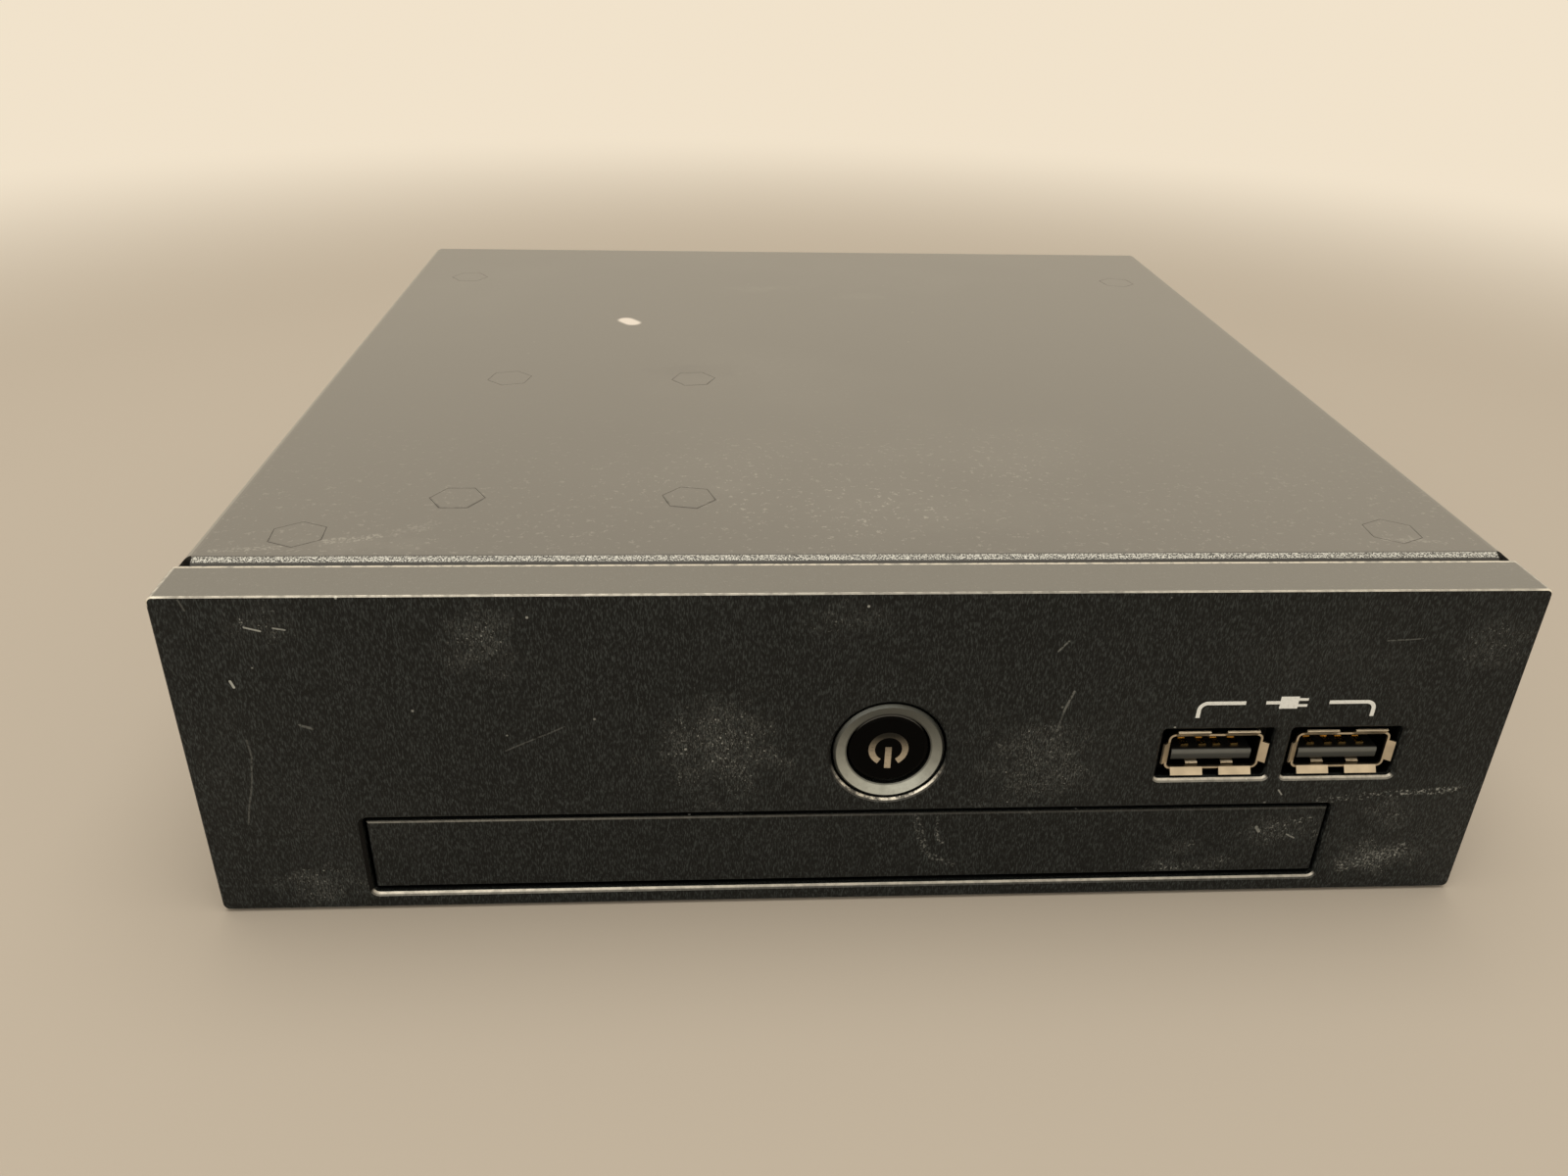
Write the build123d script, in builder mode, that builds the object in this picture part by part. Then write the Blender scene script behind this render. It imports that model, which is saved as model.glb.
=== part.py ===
"""Slim black media player with a front-loading disc tray.

Millimetres, +Z up, front towards -Y, origin at the bottom centre of the closed box.
"""

import os

from build123d import *

os.makedirs("parts", exist_ok=True)

# Front plate
bezel_width = 176.0
bezel_height = 49.8
bezel_thickness = 8.0
bezel_foot = 2.4  # plate below the disc slot
bezel_corner = 0.9
bezel_edge = 0.2  # bright-cut edge round the front face
bezel_wall = 3.0  # metal left in front of the rear pocket
bezel_rim = 3.0  # metal left round the rear pocket
pocket_corner = 2.0
boss_radius = 4.0
boss_merge = 1.0  # bosses run into the rim by this much
boss_rise = 5.0  # lower bosses above the disc slot
opening_edge = 0.45  # chamfer round each opening in the front face

# Folded steel shell
sheet = 1.0
bend = 1.0  # inside radius of each fold
shell_depth = 169.2
shell_inset = 0.4  # each side lies this far in from the front plate's side
shell_proud = 0.4  # the shell stands this far past the plate's top and bottom
shell_gap = 0.3  # shadow gap behind the front plate
seam = 0.4  # open seam at each upright corner
relief_width = 1.2  # notch where two folds meet
wall_clear = 0.2  # height of the wall edges above the table
cover_play = 0.2
cover_flange = 9.0
vent_width = 2.6
vent_pitch = 6.0
vent_count = 18  # along each side
vent_margin = 2.0

# Fasteners
screw_radius = 1.25
screw_head_radius = 2.5
screw_head = 1.6
screw_play = 0.1  # round a screw in its hole
thread_depth = 4.0

# Disc tray and the front panel that closes its slot
disc_radius = 60.3  # well for a 120 mm disc
disc_depth = 1.6
small_disc_radius = 40.5  # well for an 80 mm disc
small_disc_depth = 0.6
disc_lead = 1.2  # well behind the tray's nose
tray_rim = 2.5  # tray beside the disc well
tray_side = 0.6  # tray edge inside the case wall
deck_clear = 0.3
deck_thickness = 3.0
skirt_width = 2.0
nose_thickness = 2.0
panel_overlap = 3.9  # panel beyond the tray on each side
panel_thickness = 3.0
panel_recess = 0.5
panel_gap_side = 0.5
panel_gap_up = 0.8
panel_round = 0.4

# Slim drive case and its telescoping rails
drive_height = 12.7
drive_lead_in = 0.6  # drive behind the shell's front wall
drive_tail = 0.4  # closed tray to the case's rear wall
case_sheet = 0.6
guide_wall = 0.8
guide_reach = 3.4
slide_play = 0.2
rail_width = 3.6
rail_height = 3.0
rail_wall = 0.7
rail_tail = 12.0
slot_play = 0.2  # slot above and below the drive
slot_corner = 0.9
drive_board_sheet = 0.8

# Spindle and pickup on the tray
plate_sheet = 0.8
motor_radius = 11.0
motor_clear = 0.5
table_radius = 13.0
table_thickness = 1.0
seat_lift = 0.4  # disc seat above the well's floor
hub_radius = 7.3
hub_height = 2.4
shaft_radius = 1.5
pin_radius = 0.6
ball_radius = 0.9  # sprung balls that hold a disc on the hub
ball_proud = 0.3
ball_count = 3
window_play = 1.5
sled_start = 18.0  # sled's inner end behind the spindle's centre
sled_length = 14.0
sled_width = 25.0
sled_clear = 1.1
arm_length = 4.0
sled_travel = 35.0
lens_radius = 2.2
lens_rise = 1.7
rod_radius = 1.0
rod_play = 0.05
rod_edge = 2.3  # rods inside the sled's sides
mount_thickness = 1.0
worm_radius = 1.2
worm_gap = 3.5  # worm outside the sled's side
sled_motor_radius = 2.1
sled_motor_length = 9.0

# Round push button
button_x = 3.7
button_rise = 9.9  # centre above the disc slot
ring_radius = 7.5
ring_width = 1.8
ring_play = 0.35  # gap between the ring and the front plate
ring_recess = 0.15
ring_dish = 0.6  # depth of the ring's conical face
ring_shoulder = 1.5
cap_play = 0.2
cap_sink = 0.1  # cap face behind the inner edge of the ring
cap_round = 0.6  # soft rim of the cap
cap_depth = 3.6
stem_radius = 2.4
stem_play = 0.05
button_travel = 0.8
barrel_length = 6.0  # behind the shell's front wall
nut_height = 2.5
nut_wall = 2.2
switch_size = 6.0
switch_height = 3.5
switch_cup_wall = 1.0

# Pair of data ports
port_side = 30.6  # middle of the pair to the plate's right side
port_rise = 8.85  # centre above the disc slot
port_land = 1.3  # plate between the two openings
port_play = 0.3
port_corner = 0.6
port_recess = 0.2  # tips of the flared tabs behind the face
socket_width = 12.5  # inside the metal shell
socket_height = 5.12
socket_wall = 0.3
socket_depth = 14.0
flare_length = 0.65
flare_rise = 0.95
socket_corner = 0.6  # inside corner of the metal shell
tab_width = 4.5
tab_gap = 2.3  # between the two tabs above and below
side_tab = 3.2
tongue_width = 11.1
tongue_height = 1.84
tongue_gap = 0.66  # below the tongue
tongue_back = 0.6  # tongue tip behind the shell's front edge
contact_width = 1.0
contact_thickness = 0.2
contact_length = 7.0
contact_offsets = (-3.5, -1.0, 1.0, 3.5)

# Circuit boards
board_sheet = 1.6
standoff_length = 5.0
standoff_radius = 2.6
standoff_hex = 3.85  # centre to corner of the flush head
hex_play = 0.08
board_clear = 4.6  # main board to the shell's side walls
board_lead = 2.2  # main board behind the shell's front wall
board_side = 7.5  # board edge beyond its standoffs
board_nose = 4.8  # board in front of its front standoffs
board_tail = 27.0  # board behind its rear standoffs
head_turns = (34.5, 27.0, 4.0, 41.0)
memory_width = 67.6
memory_depth = 30.0
memory_side = 52.0  # centre to the plate's right side
memory_gap = 1.6  # socket to the heat sink
memory_lift = 2.4
memory_sheet = 1.2

# Processor cooler
cooler_side = 48.6  # centre to the plate's left side
cooler_back = 53.7  # centre behind the plate's face
cooler_pitch_x = 32.6
cooler_pitch_y = 51.6
cooler_margin = 4.5
cooler_turns = (0.0, 48.0, 17.0, 8.0)
chip_size = 31.0
chip_height = 2.2
sink_base = 3.0
fin_width = 1.2
fin_count = 9
fin_clear = 3.0  # fins to the heads of the cooler screws
fan_size = 40.0
fan_height = 8.0
fan_wall = 1.6
fan_share = 0.38  # share of the free height that is air space under the fan
blade_play = 1.0
fan_hub = 8.0
hub_gap = 0.4
blade_count = 7
strut_width = 3.0

# Rear sockets
rear_play = 0.3
power_side = 22.0  # centres to the plate's right side
video_side = 44.0
network_side = 70.0
stack_side = 94.0
power_width = 9.6
power_height = 11.0
power_bore = 3.1
power_pin = 1.0
video_width = 15.0
video_height = 5.6
network_width = 16.0
network_height = 13.4
stack_land = 1.6
rear_depth = 15.0
cavity_depth = 10.0

# Drive bracket and storage drive
bracket_flange = 8.0
ear_length = 10.0
storage_width = 69.8
storage_depth = 100.0
storage_height = 7.0
storage_side = 3.0  # storage drive to the bracket's flange
storage_thread = 2.4

# Inner leads
lead_radius = 1.3
lead_run = 12.0  # straight back from the switch or the ports
lead_bend = 2.6
header_size = 5.0
header_height = 3.0

# Places that follow from the sizes above
tray_half = disc_radius + tray_rim
case_half = tray_half + tray_side
drive_width = 2 * (case_half + case_sheet)
panel_width = 2 * (tray_half + panel_overlap)
slot_width = panel_width + 2 * panel_gap_side
slot_height = drive_height + 2 * slot_play
panel_height = slot_height - 2 * panel_gap_up
shell_width = bezel_width - 2 * shell_inset
shell_height = bezel_height + 2 * shell_proud
fold = bend + sheet
relief_length = fold - relief_width / 2
depth = bezel_thickness + shell_gap + shell_depth
front = -depth / 2
shell_front = front + bezel_thickness + shell_gap
shell_back = shell_front + shell_depth
shell_mid = (shell_front + shell_back) / 2
inner_front = shell_front + sheet
inner_back = shell_back - sheet
inner_half = shell_width / 2 - sheet
ceiling = shell_height - sheet
bezel_mid = shell_proud + bezel_height / 2
slot_z = shell_proud + bezel_foot + slot_height / 2
slot_top = slot_z + slot_height / 2
button_z = slot_top + button_rise
port_z = slot_top + port_rise
port_mid_x = bezel_width / 2 - port_side
port_width = socket_width + 2 * (socket_wall + flare_rise + port_play)
port_height = socket_height + 2 * (socket_wall + flare_rise + port_play)
port_pitch = port_width + 2 * opening_edge + port_land
port_xs = (port_mid_x - port_pitch / 2, port_mid_x + port_pitch / 2)
hole_radius = screw_radius + screw_play
boss_inset = bezel_rim + boss_radius - boss_merge
boss_x = bezel_width / 2 - boss_inset
boss_zs = (slot_top + boss_rise, shell_proud + bezel_height - boss_inset)
bezel_spots = [(x, z) for x in (-boss_x, boss_x) for z in boss_zs]

face = Plane(origin=(0, front, 0), x_dir=(1, 0, 0), z_dir=(0, -1, 0))
wall_face = face.offset(-(bezel_thickness + shell_gap))
rear_face = Plane(origin=(0, shell_back, 0), x_dir=(-1, 0, 0), z_dir=(0, 1, 0))
button_plane = Plane(origin=(button_x, front, button_z))
button_axis = Axis((button_x, front, button_z), (0, 1, 0))

# Levels inside the disc drive
drive_front = inner_front + drive_lead_in
drive_low = slot_z - drive_height / 2
drive_high = slot_z + drive_height / 2
case_floor = drive_low + case_sheet
guide_height = rail_height + 2 * slide_play + 2 * guide_wall
rail_outer = case_half - guide_wall - slide_play
rail_inner = rail_outer - rail_width
rail_mid_z = case_floor + guide_height / 2
tongue_reach = rail_outer - rail_wall - slide_play
rail_tongue = rail_height - 2 * rail_wall - 2 * slide_play
skirt_outer = rail_inner - slide_play
skirt_low = rail_mid_z - rail_height / 2
deck_low = case_floor + guide_height + deck_clear
deck_high = deck_low + deck_thickness
well_floor = deck_high - disc_depth
panel_back = front + panel_recess + panel_thickness
disc_y = panel_back + nose_thickness + disc_lead + disc_radius
plate_low = deck_low - plate_sheet
motor_height = plate_low - case_floor - motor_clear
motor_low = plate_low - motor_height
seat_z = well_floor + seat_lift
table_low = seat_z - table_thickness
sled_height = plate_low - case_floor - sled_clear
rod_z = plate_low - sled_height / 2 - rod_play
sled_low = rod_z - sled_height / 2
rod_x = sled_width / 2 - rod_edge
worm_x = sled_width / 2 + worm_gap
rod_near = disc_y + sled_start - rod_play
rod_far = disc_y + sled_start + sled_length + sled_travel + rod_play
tray_back = rod_far + 2 * mount_thickness
drive_back = tray_back + drive_tail + case_sheet
drive_depth = drive_back - drive_front
drive_mid = (drive_front + drive_back) / 2
bracket_low = drive_high
bracket_high = bracket_low + sheet

# Heights of the circuit board stack, which hangs from the top plate
board_high = ceiling - standoff_length
board_low = board_high - board_sheet
chip_low = board_low - chip_height
base_low = chip_low - sink_base
fan_low = bracket_high + fan_share * (base_low - fan_height - bracket_high)
fan_top = fan_low + fan_height
board_half = inner_half - board_clear
board_front = inner_front + board_lead
board_back = inner_back - seam
spot_x = board_half - board_side
spot_front = board_front + board_nose
spot_back = board_back - board_tail
corner_spots = [(x, y) for y in (spot_front, spot_back) for x in (-spot_x, spot_x)]
cooler_x = cooler_side - bezel_width / 2
cooler_y = front + cooler_back
cooler_spots = [
    (cooler_x + i * cooler_pitch_x / 2, cooler_y + j * cooler_pitch_y / 2)
    for j in (-1, 1)
    for i in (-1, 1)
]


def save(part, name):
    """Label one piece and write its file."""
    part.label = name
    export_step(part, f"parts/{name}.step")


def folded_block(width, length, height, radius, side):
    """A block whose top (side -1) or bottom (side 0) edges are rounded as sheet folds."""
    with BuildPart() as block:
        Box(width, length, height, align=(Align.CENTER, Align.CENTER, Align.MIN))
        fillet(block.faces().sort_by(Axis.Z)[side].edges(), radius)
    return block.part


def screws(planes, length, head_radius=screw_head_radius, head=screw_head, radius=screw_radius):
    """Round-head screws; each plane lies under a head and points out of it."""
    with BuildPart() as group:
        with Locations(*planes):
            Cylinder(head_radius, head, align=(Align.CENTER, Align.CENTER, Align.MIN))
            Cylinder(radius, length, align=(Align.CENTER, Align.CENTER, Align.MAX))
        tops = group.faces().filter_by(GeomType.PLANE).group_by(SortBy.AREA)[-1]
        chamfer(tops.edges().filter_by(GeomType.CIRCLE), head / 3)
    return group.part


def flush_screws(planes, length):
    """Countersunk screws whose heads lie flush in one sheet."""
    with BuildPart() as group:
        with Locations(*planes):
            Cone(screw_radius, screw_radius + sheet, sheet, align=(Align.CENTER, Align.CENTER, Align.MAX))
            Cylinder(screw_radius, length, align=(Align.CENTER, Align.CENTER, Align.MAX))
    return group.part


def side_planes(spots):
    """Planes on both side walls at (y, z) spots, facing outwards."""
    return [
        Plane(origin=(side * shell_width / 2, y, z), z_dir=(side, 0, 0))
        for side in (-1, 1)
        for y, z in spots
    ]


def turned(plane, axis, outline):
    """A solid of revolution from an outline of (radius, distance) points."""
    with BuildPart() as body:
        with BuildSketch(plane):
            with BuildLine():
                Polyline(*outline, close=True)
            make_face()
        revolve(axis=axis)
    return body.part


# Front plate: chamfered openings, milled rear pocket, tapped bosses that seat on the shell
with BuildPart() as front_bezel:
    with BuildSketch(face):
        with Locations((0, bezel_mid)):
            RectangleRounded(bezel_width, bezel_height, bezel_corner)
        with Locations((0, slot_z)):
            RectangleRounded(slot_width, slot_height, slot_corner, mode=Mode.SUBTRACT)
        with Locations((button_x, button_z)):
            Circle(ring_radius + ring_play, mode=Mode.SUBTRACT)
        with Locations(*[(x, port_z) for x in port_xs]):
            RectangleRounded(port_width, port_height, port_corner, mode=Mode.SUBTRACT)
    extrude(amount=-bezel_thickness)
    chamfer(front_bezel.faces().sort_by(Axis.Y)[0].outer_wire().edges(), bezel_edge)
    openings = front_bezel.faces().sort_by(Axis.Y)[0].inner_wires()
    chamfer([edge for wire in openings for edge in wire.edges()], opening_edge)
    with BuildSketch(face.offset(-bezel_thickness)):
        with Locations((0, bezel_mid)):
            RectangleRounded(bezel_width - 2 * bezel_rim, bezel_height - 2 * bezel_rim, pocket_corner)
    extrude(amount=bezel_thickness - bezel_wall, mode=Mode.SUBTRACT)
    with BuildSketch(wall_face):
        with Locations(*bezel_spots):
            Circle(boss_radius)
    extrude(amount=bezel_thickness + shell_gap - bezel_wall)
    with BuildSketch(wall_face):
        with Locations(*bezel_spots):
            Circle(hole_radius)
    extrude(amount=thread_depth + screw_play, mode=Mode.SUBTRACT)
save(front_bezel.part, "front_bezel")

bezel_planes = [
    Plane(origin=(x, inner_front, z), x_dir=(1, 0, 0), z_dir=(0, 1, 0)) for x, z in bezel_spots
]
save(screws(bezel_planes, sheet + thread_depth), "bezel_screws")

# Rear sockets as (x, width, height) in the rear wall
stack_width = socket_width + 2 * stack_land
stack_height = 2 * socket_height + 3 * stack_land
power_x = bezel_width / 2 - power_side
video_x = bezel_width / 2 - video_side
network_x = bezel_width / 2 - network_side
stack_x = bezel_width / 2 - stack_side
rear_sockets = [
    (power_x, power_width, power_height),
    (video_x, video_width, video_height),
    (network_x, network_width, network_height),
    (stack_x, stack_width, stack_height),
]

# Screws and vents in the side walls
cover_z = sheet + cover_flange / 2
flange_z = bracket_high + bracket_flange / 2
side_ys = (spot_front, drive_back - ear_length)
cover_planes = side_planes([(y, cover_z) for y in side_ys])
flange_planes = side_planes([(y, flange_z) for y in side_ys])
vent_low = bracket_high + bracket_flange + vent_margin
vent_length = board_low - vent_margin - vent_low
vent_z = vent_low + vent_length / 2
rear_vent_near = stack_width / 2 - stack_x + vent_pitch
rear_vent_far = inner_half - vent_pitch
rear_vents = int((rear_vent_far - rear_vent_near) / vent_pitch)
port_board_low = port_z + socket_height / 2 + socket_wall
port_flange = 3 * screw_head_radius
port_flange_z = port_board_low + board_sheet + sheet + port_flange / 2
port_screw_spots = [(port_mid_x + side * port_pitch * 0.75, port_flange_z) for side in (-1, 1)]

# Upper shell: one folded sheet with open corner seams and notches where the folds meet
shell_block = folded_block(shell_width, shell_depth, shell_height - wall_clear, fold, -1)
shell_hollow = folded_block(2 * inner_half, shell_depth - 2 * sheet, ceiling - wall_clear, bend, -1)
with BuildPart() as upper_pan:
    add(shell_block.moved(Location((0, shell_mid, wall_clear))))
    add(shell_hollow.moved(Location((0, shell_mid, wall_clear))), mode=Mode.SUBTRACT)
    for side in (-1, 1):
        for end, turn in ((shell_front, 1), (shell_back, -1)):
            notch_x = side * (shell_width / 2 - sheet - relief_width / 2 + seam)
            with BuildSketch(Plane.XY.offset(shell_height)):
                with Locations((notch_x, end + turn * relief_length / 2)):
                    Rectangle(relief_width, relief_length)
                with Locations((notch_x, end + turn * relief_length)):
                    Circle(relief_width / 2)
            extrude(amount=-(fold + sheet), mode=Mode.SUBTRACT)
            with BuildSketch(Plane.XY.offset(wall_clear)):
                with Locations((side * (inner_half - seam / 2), end + turn * sheet / 2)):
                    Rectangle(seam, sheet)
            extrude(amount=ceiling - fold, mode=Mode.SUBTRACT)
    with BuildSketch(wall_face):
        with Locations((0, slot_z)):
            Rectangle(2 * tray_half + 2 * window_play, drive_height)
        with Locations((button_x, button_z)):
            Circle(ring_radius - ring_shoulder + screw_play)
        with Locations(*[(x, port_z) for x in port_xs]):
            Rectangle(socket_width + 4 * socket_wall, socket_height + 4 * socket_wall)
        with Locations(*bezel_spots, *port_screw_spots):
            Circle(hole_radius)
    extrude(amount=-sheet, mode=Mode.SUBTRACT)
    with BuildSketch(rear_face):
        for x, width, height in rear_sockets:
            with Locations((-x, board_low - height / 2)):
                Rectangle(width + 2 * rear_play, height + 2 * rear_play)
        with Locations(((rear_vent_near + rear_vent_far) / 2, vent_z)):
            with GridLocations(vent_pitch, vent_pitch, rear_vents, 1):
                SlotOverall(vent_length, vent_width, rotation=90)
    extrude(amount=-sheet, mode=Mode.SUBTRACT)
    with BuildSketch(Plane.YZ):
        with Locations((shell_mid, vent_z)):
            with GridLocations(vent_pitch, vent_pitch, vent_count, 1):
                SlotOverall(vent_length, vent_width, rotation=90)
    extrude(amount=shell_width / 2, both=True, mode=Mode.SUBTRACT)
    for spots, turns in ((corner_spots, head_turns), (cooler_spots, cooler_turns)):
        with BuildSketch(Plane.XY.offset(shell_height)):
            for spot, turn in zip(spots, turns):
                with Locations(spot):
                    RegularPolygon(standoff_hex + hex_play, 6, rotation=turn)
        extrude(amount=-sheet, mode=Mode.SUBTRACT)
    with Locations(*cover_planes, *flange_planes):
        Cone(
            hole_radius,
            hole_radius + sheet,
            sheet,
            align=(Align.CENTER, Align.CENTER, Align.MAX),
            mode=Mode.SUBTRACT,
        )
save(upper_pan.part, "upper_pan")

# Lower cover: a shallow folded tray that drops between the shell's walls
cover_width = 2 * inner_half - 2 * cover_play
cover_depth = shell_depth - 2 * sheet - 2 * cover_play
cover_block = folded_block(cover_width, cover_depth, sheet + cover_flange, fold, 0)
cover_hollow = folded_block(cover_width - 2 * sheet, cover_depth - 2 * sheet, cover_flange, bend, 0)
with BuildPart() as lower_cover:
    add(cover_block.moved(Location((0, shell_mid, 0))))
    add(cover_hollow.moved(Location((0, shell_mid, sheet))), mode=Mode.SUBTRACT)
    with Locations((0, shell_mid - cover_depth / 2, sheet)):
        Box(
            cover_width - 2 * fold,
            2 * fold,
            cover_flange,
            align=(Align.CENTER, Align.CENTER, Align.MIN),
            mode=Mode.SUBTRACT,
        )
    for side in (-1, 1):
        for end in (-1, 1):
            corner = (side * (cover_width - fold) / 2, shell_mid + end * (cover_depth - fold) / 2, 0)
            with Locations(corner):
                Box(
                    fold,
                    fold,
                    sheet + cover_flange,
                    align=(Align.CENTER, Align.CENTER, Align.MIN),
                    mode=Mode.SUBTRACT,
                )
    with BuildSketch(Plane.XY):
        with Locations((0, (drive_back + inner_back) / 2)):
            with GridLocations(vent_pitch, vent_pitch, vent_count, 1):
                SlotOverall((inner_back - drive_back) / 2, vent_width, rotation=90)
    extrude(amount=sheet, mode=Mode.SUBTRACT)
    with BuildSketch(Plane.YZ):
        with Locations(*[(y, cover_z) for y in side_ys]):
            Circle(hole_radius)
    extrude(amount=shell_width / 2, both=True, mode=Mode.SUBTRACT)
save(lower_cover.part, "lower_cover")

screw_bite = 2 * sheet + cover_play
save(flush_screws(cover_planes, screw_bite), "cover_screws")
save(flush_screws(flange_planes, screw_bite), "bracket_screws")


def standoffs(spots, turns):
    """Clinched standoffs with flush hexagonal heads in the top plate and a tapped bore."""
    with BuildPart() as group:
        with BuildSketch(Plane.XY.offset(ceiling)):
            for spot, turn in zip(spots, turns):
                with Locations(spot):
                    RegularPolygon(standoff_hex, 6, rotation=turn)
        extrude(amount=sheet)
        with BuildSketch(Plane.XY.offset(board_high)):
            with Locations(*spots):
                Circle(standoff_radius)
        extrude(amount=standoff_length)
        with BuildSketch(Plane.XY.offset(board_high)):
            with Locations(*spots):
                Circle(hole_radius)
        extrude(amount=thread_depth + screw_play, mode=Mode.SUBTRACT)
    return group.part


save(standoffs(corner_spots, head_turns), "board_standoffs")
save(standoffs(cooler_spots, cooler_turns), "cooler_standoffs")

# Main board, hung under the standoffs, with its screws
with BuildPart() as mainboard:
    with BuildSketch(Plane.XY.offset(board_low)):
        with Locations((0, (board_front + board_back) / 2)):
            Rectangle(2 * board_half, board_back - board_front)
        with Locations(*corner_spots, *cooler_spots):
            Circle(hole_radius, mode=Mode.SUBTRACT)
    extrude(amount=board_sheet)
save(mainboard.part, "mainboard")

board_planes = [Plane(origin=(x, y, board_low), z_dir=(0, 0, -1)) for x, y in corner_spots]
save(screws(board_planes, board_sheet + thread_depth), "board_screws")

# Processor with its heat sink and fan, screwed through the board into the shell's standoffs
with BuildPart() as processor:
    with Locations((cooler_x, cooler_y, chip_low)):
        Box(chip_size, chip_size, chip_height, align=(Align.CENTER, Align.CENTER, Align.MIN))
    chamfer(processor.edges().filter_by(Axis.Z), chip_height / 2)
save(processor.part, "processor")

with BuildPart() as heat_sink:
    with BuildSketch(Plane.XY.offset(base_low)):
        with Locations((cooler_x, cooler_y)):
            RectangleRounded(
                cooler_pitch_x + 2 * cooler_margin, cooler_pitch_y + 2 * cooler_margin, cooler_margin / 2
            )
        with Locations(*cooler_spots):
            Circle(hole_radius, mode=Mode.SUBTRACT)
    extrude(amount=sink_base)
    fin_pitch = (fan_size - fin_width) / (fin_count - 1)
    fin_length = cooler_pitch_y - 2 * (screw_head_radius + fin_clear)
    with BuildSketch(Plane.XY.offset(base_low)):
        with Locations((cooler_x, cooler_y)):
            with GridLocations(fin_pitch, fin_length, fin_count, 1):
                Rectangle(fin_width, fin_length)
    extrude(amount=fan_top - base_low)
save(heat_sink.part, "heat_sink")

cooler_planes = [Plane(origin=(x, y, base_low), z_dir=(0, 0, -1)) for x, y in cooler_spots]
cooler_reach = sink_base + chip_height + board_sheet + thread_depth
save(screws(cooler_planes, cooler_reach), "cooler_screws")

fan_radius = fan_size / 2 - fan_wall
with BuildPart() as fan_frame:
    with BuildSketch(Plane.XY.offset(fan_low)):
        with Locations((cooler_x, cooler_y)):
            RectangleRounded(fan_size, fan_size, fan_wall)
            Circle(fan_radius, mode=Mode.SUBTRACT)
    extrude(amount=fan_height)
    with BuildSketch(Plane.XY.offset(fan_low)):
        with Locations((cooler_x, cooler_y)):
            Rectangle(2 * fan_radius + fan_wall, strut_width)
            Rectangle(strut_width, 2 * fan_radius + fan_wall)
            Circle(fan_hub)
    extrude(amount=fan_wall)
    with BuildSketch(Plane.XY.offset(fan_low + fan_wall)):
        with Locations((cooler_x, cooler_y)):
            Circle(shaft_radius)
    extrude(amount=fan_height / 2)
save(fan_frame.part, "fan_frame")

rotor_low = fan_low + fan_wall + hub_gap
rotor_mid = (rotor_low + fan_top - hub_gap) / 2
with BuildPart() as fan_rotor:
    with BuildSketch(Plane.XY.offset(rotor_low)):
        with Locations((cooler_x, cooler_y)):
            Circle(fan_hub)
    extrude(amount=fan_top - hub_gap - rotor_low)
    blade_reach = fan_radius - blade_play
    blade_mid = (fan_hub + blade_reach) / 2
    blade_tilt = Location((0, 0, 0), (35, 0, 0))
    for i in range(blade_count):
        turn = Location((cooler_x, cooler_y, rotor_mid), (0, 0, i * 360 / blade_count))
        with Locations(turn * Location((blade_mid - fan_wall / 2, 0, 0)) * blade_tilt):
            Box(blade_reach - fan_hub + fan_wall / 2, fan_height * 0.75, fan_wall / 2)
    with BuildSketch(Plane.XY.offset(rotor_low)):
        with Locations((cooler_x, cooler_y)):
            Circle(shaft_radius + stem_play)
    extrude(amount=fan_height / 2, mode=Mode.SUBTRACT)
save(fan_rotor.part, "fan_rotor")

# Memory module in its socket under the board
memory_x = bezel_width / 2 - memory_side
memory_front = cooler_y + cooler_pitch_y / 2 + cooler_margin + memory_gap + memory_depth / 4
memory_low = board_low - memory_lift - memory_sheet
with BuildPart() as memory_socket:
    with Locations((memory_x, memory_front, board_low)):
        Box(
            memory_width,
            memory_depth / 4,
            memory_lift + 2 * memory_sheet,
            align=(Align.CENTER, Align.MAX, Align.MAX),
        )
    for side in (-1, 1):
        with Locations((memory_x + side * memory_width / 2, memory_front, board_low)):
            Box(
                2 * memory_sheet,
                memory_depth,
                memory_lift,
                align=(Align.CENTER, Align.MIN, Align.MAX),
            )
save(memory_socket.part, "memory_socket")

with BuildPart() as memory_module:
    with Locations((memory_x, memory_front, memory_low)):
        Box(memory_width, memory_depth, memory_sheet, align=(Align.CENTER, Align.MIN, Align.MIN))
    with Locations((memory_x, memory_front + memory_depth / 2, memory_low)):
        with GridLocations(memory_width / 4, memory_depth, 4, 1):
            Box(
                memory_width / 6,
                memory_depth / 2,
                memory_sheet,
                align=(Align.CENTER, Align.CENTER, Align.MAX),
            )
save(memory_module.part, "memory_module")


def rear_socket(x, width, height):
    """Block of one rear socket, hung from the board with its face flush in the rear wall."""
    with BuildPart() as block:
        with Locations((x, shell_back, board_low)):
            Box(width, rear_depth, height, align=(Align.CENTER, Align.MAX, Align.MAX))
    return block.part


with BuildPart() as power_inlet:
    add(rear_socket(*rear_sockets[0]))
    with BuildSketch(rear_face):
        with Locations((-power_x, board_low - power_height / 2)):
            Circle(power_bore)
            Circle(power_pin, mode=Mode.SUBTRACT)
    extrude(amount=-cavity_depth, mode=Mode.SUBTRACT)
    chamfer(power_inlet.faces().sort_by(Axis.Y)[-1].outer_wire().edges(), power_pin / 2)
save(power_inlet.part, "power_inlet")

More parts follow.
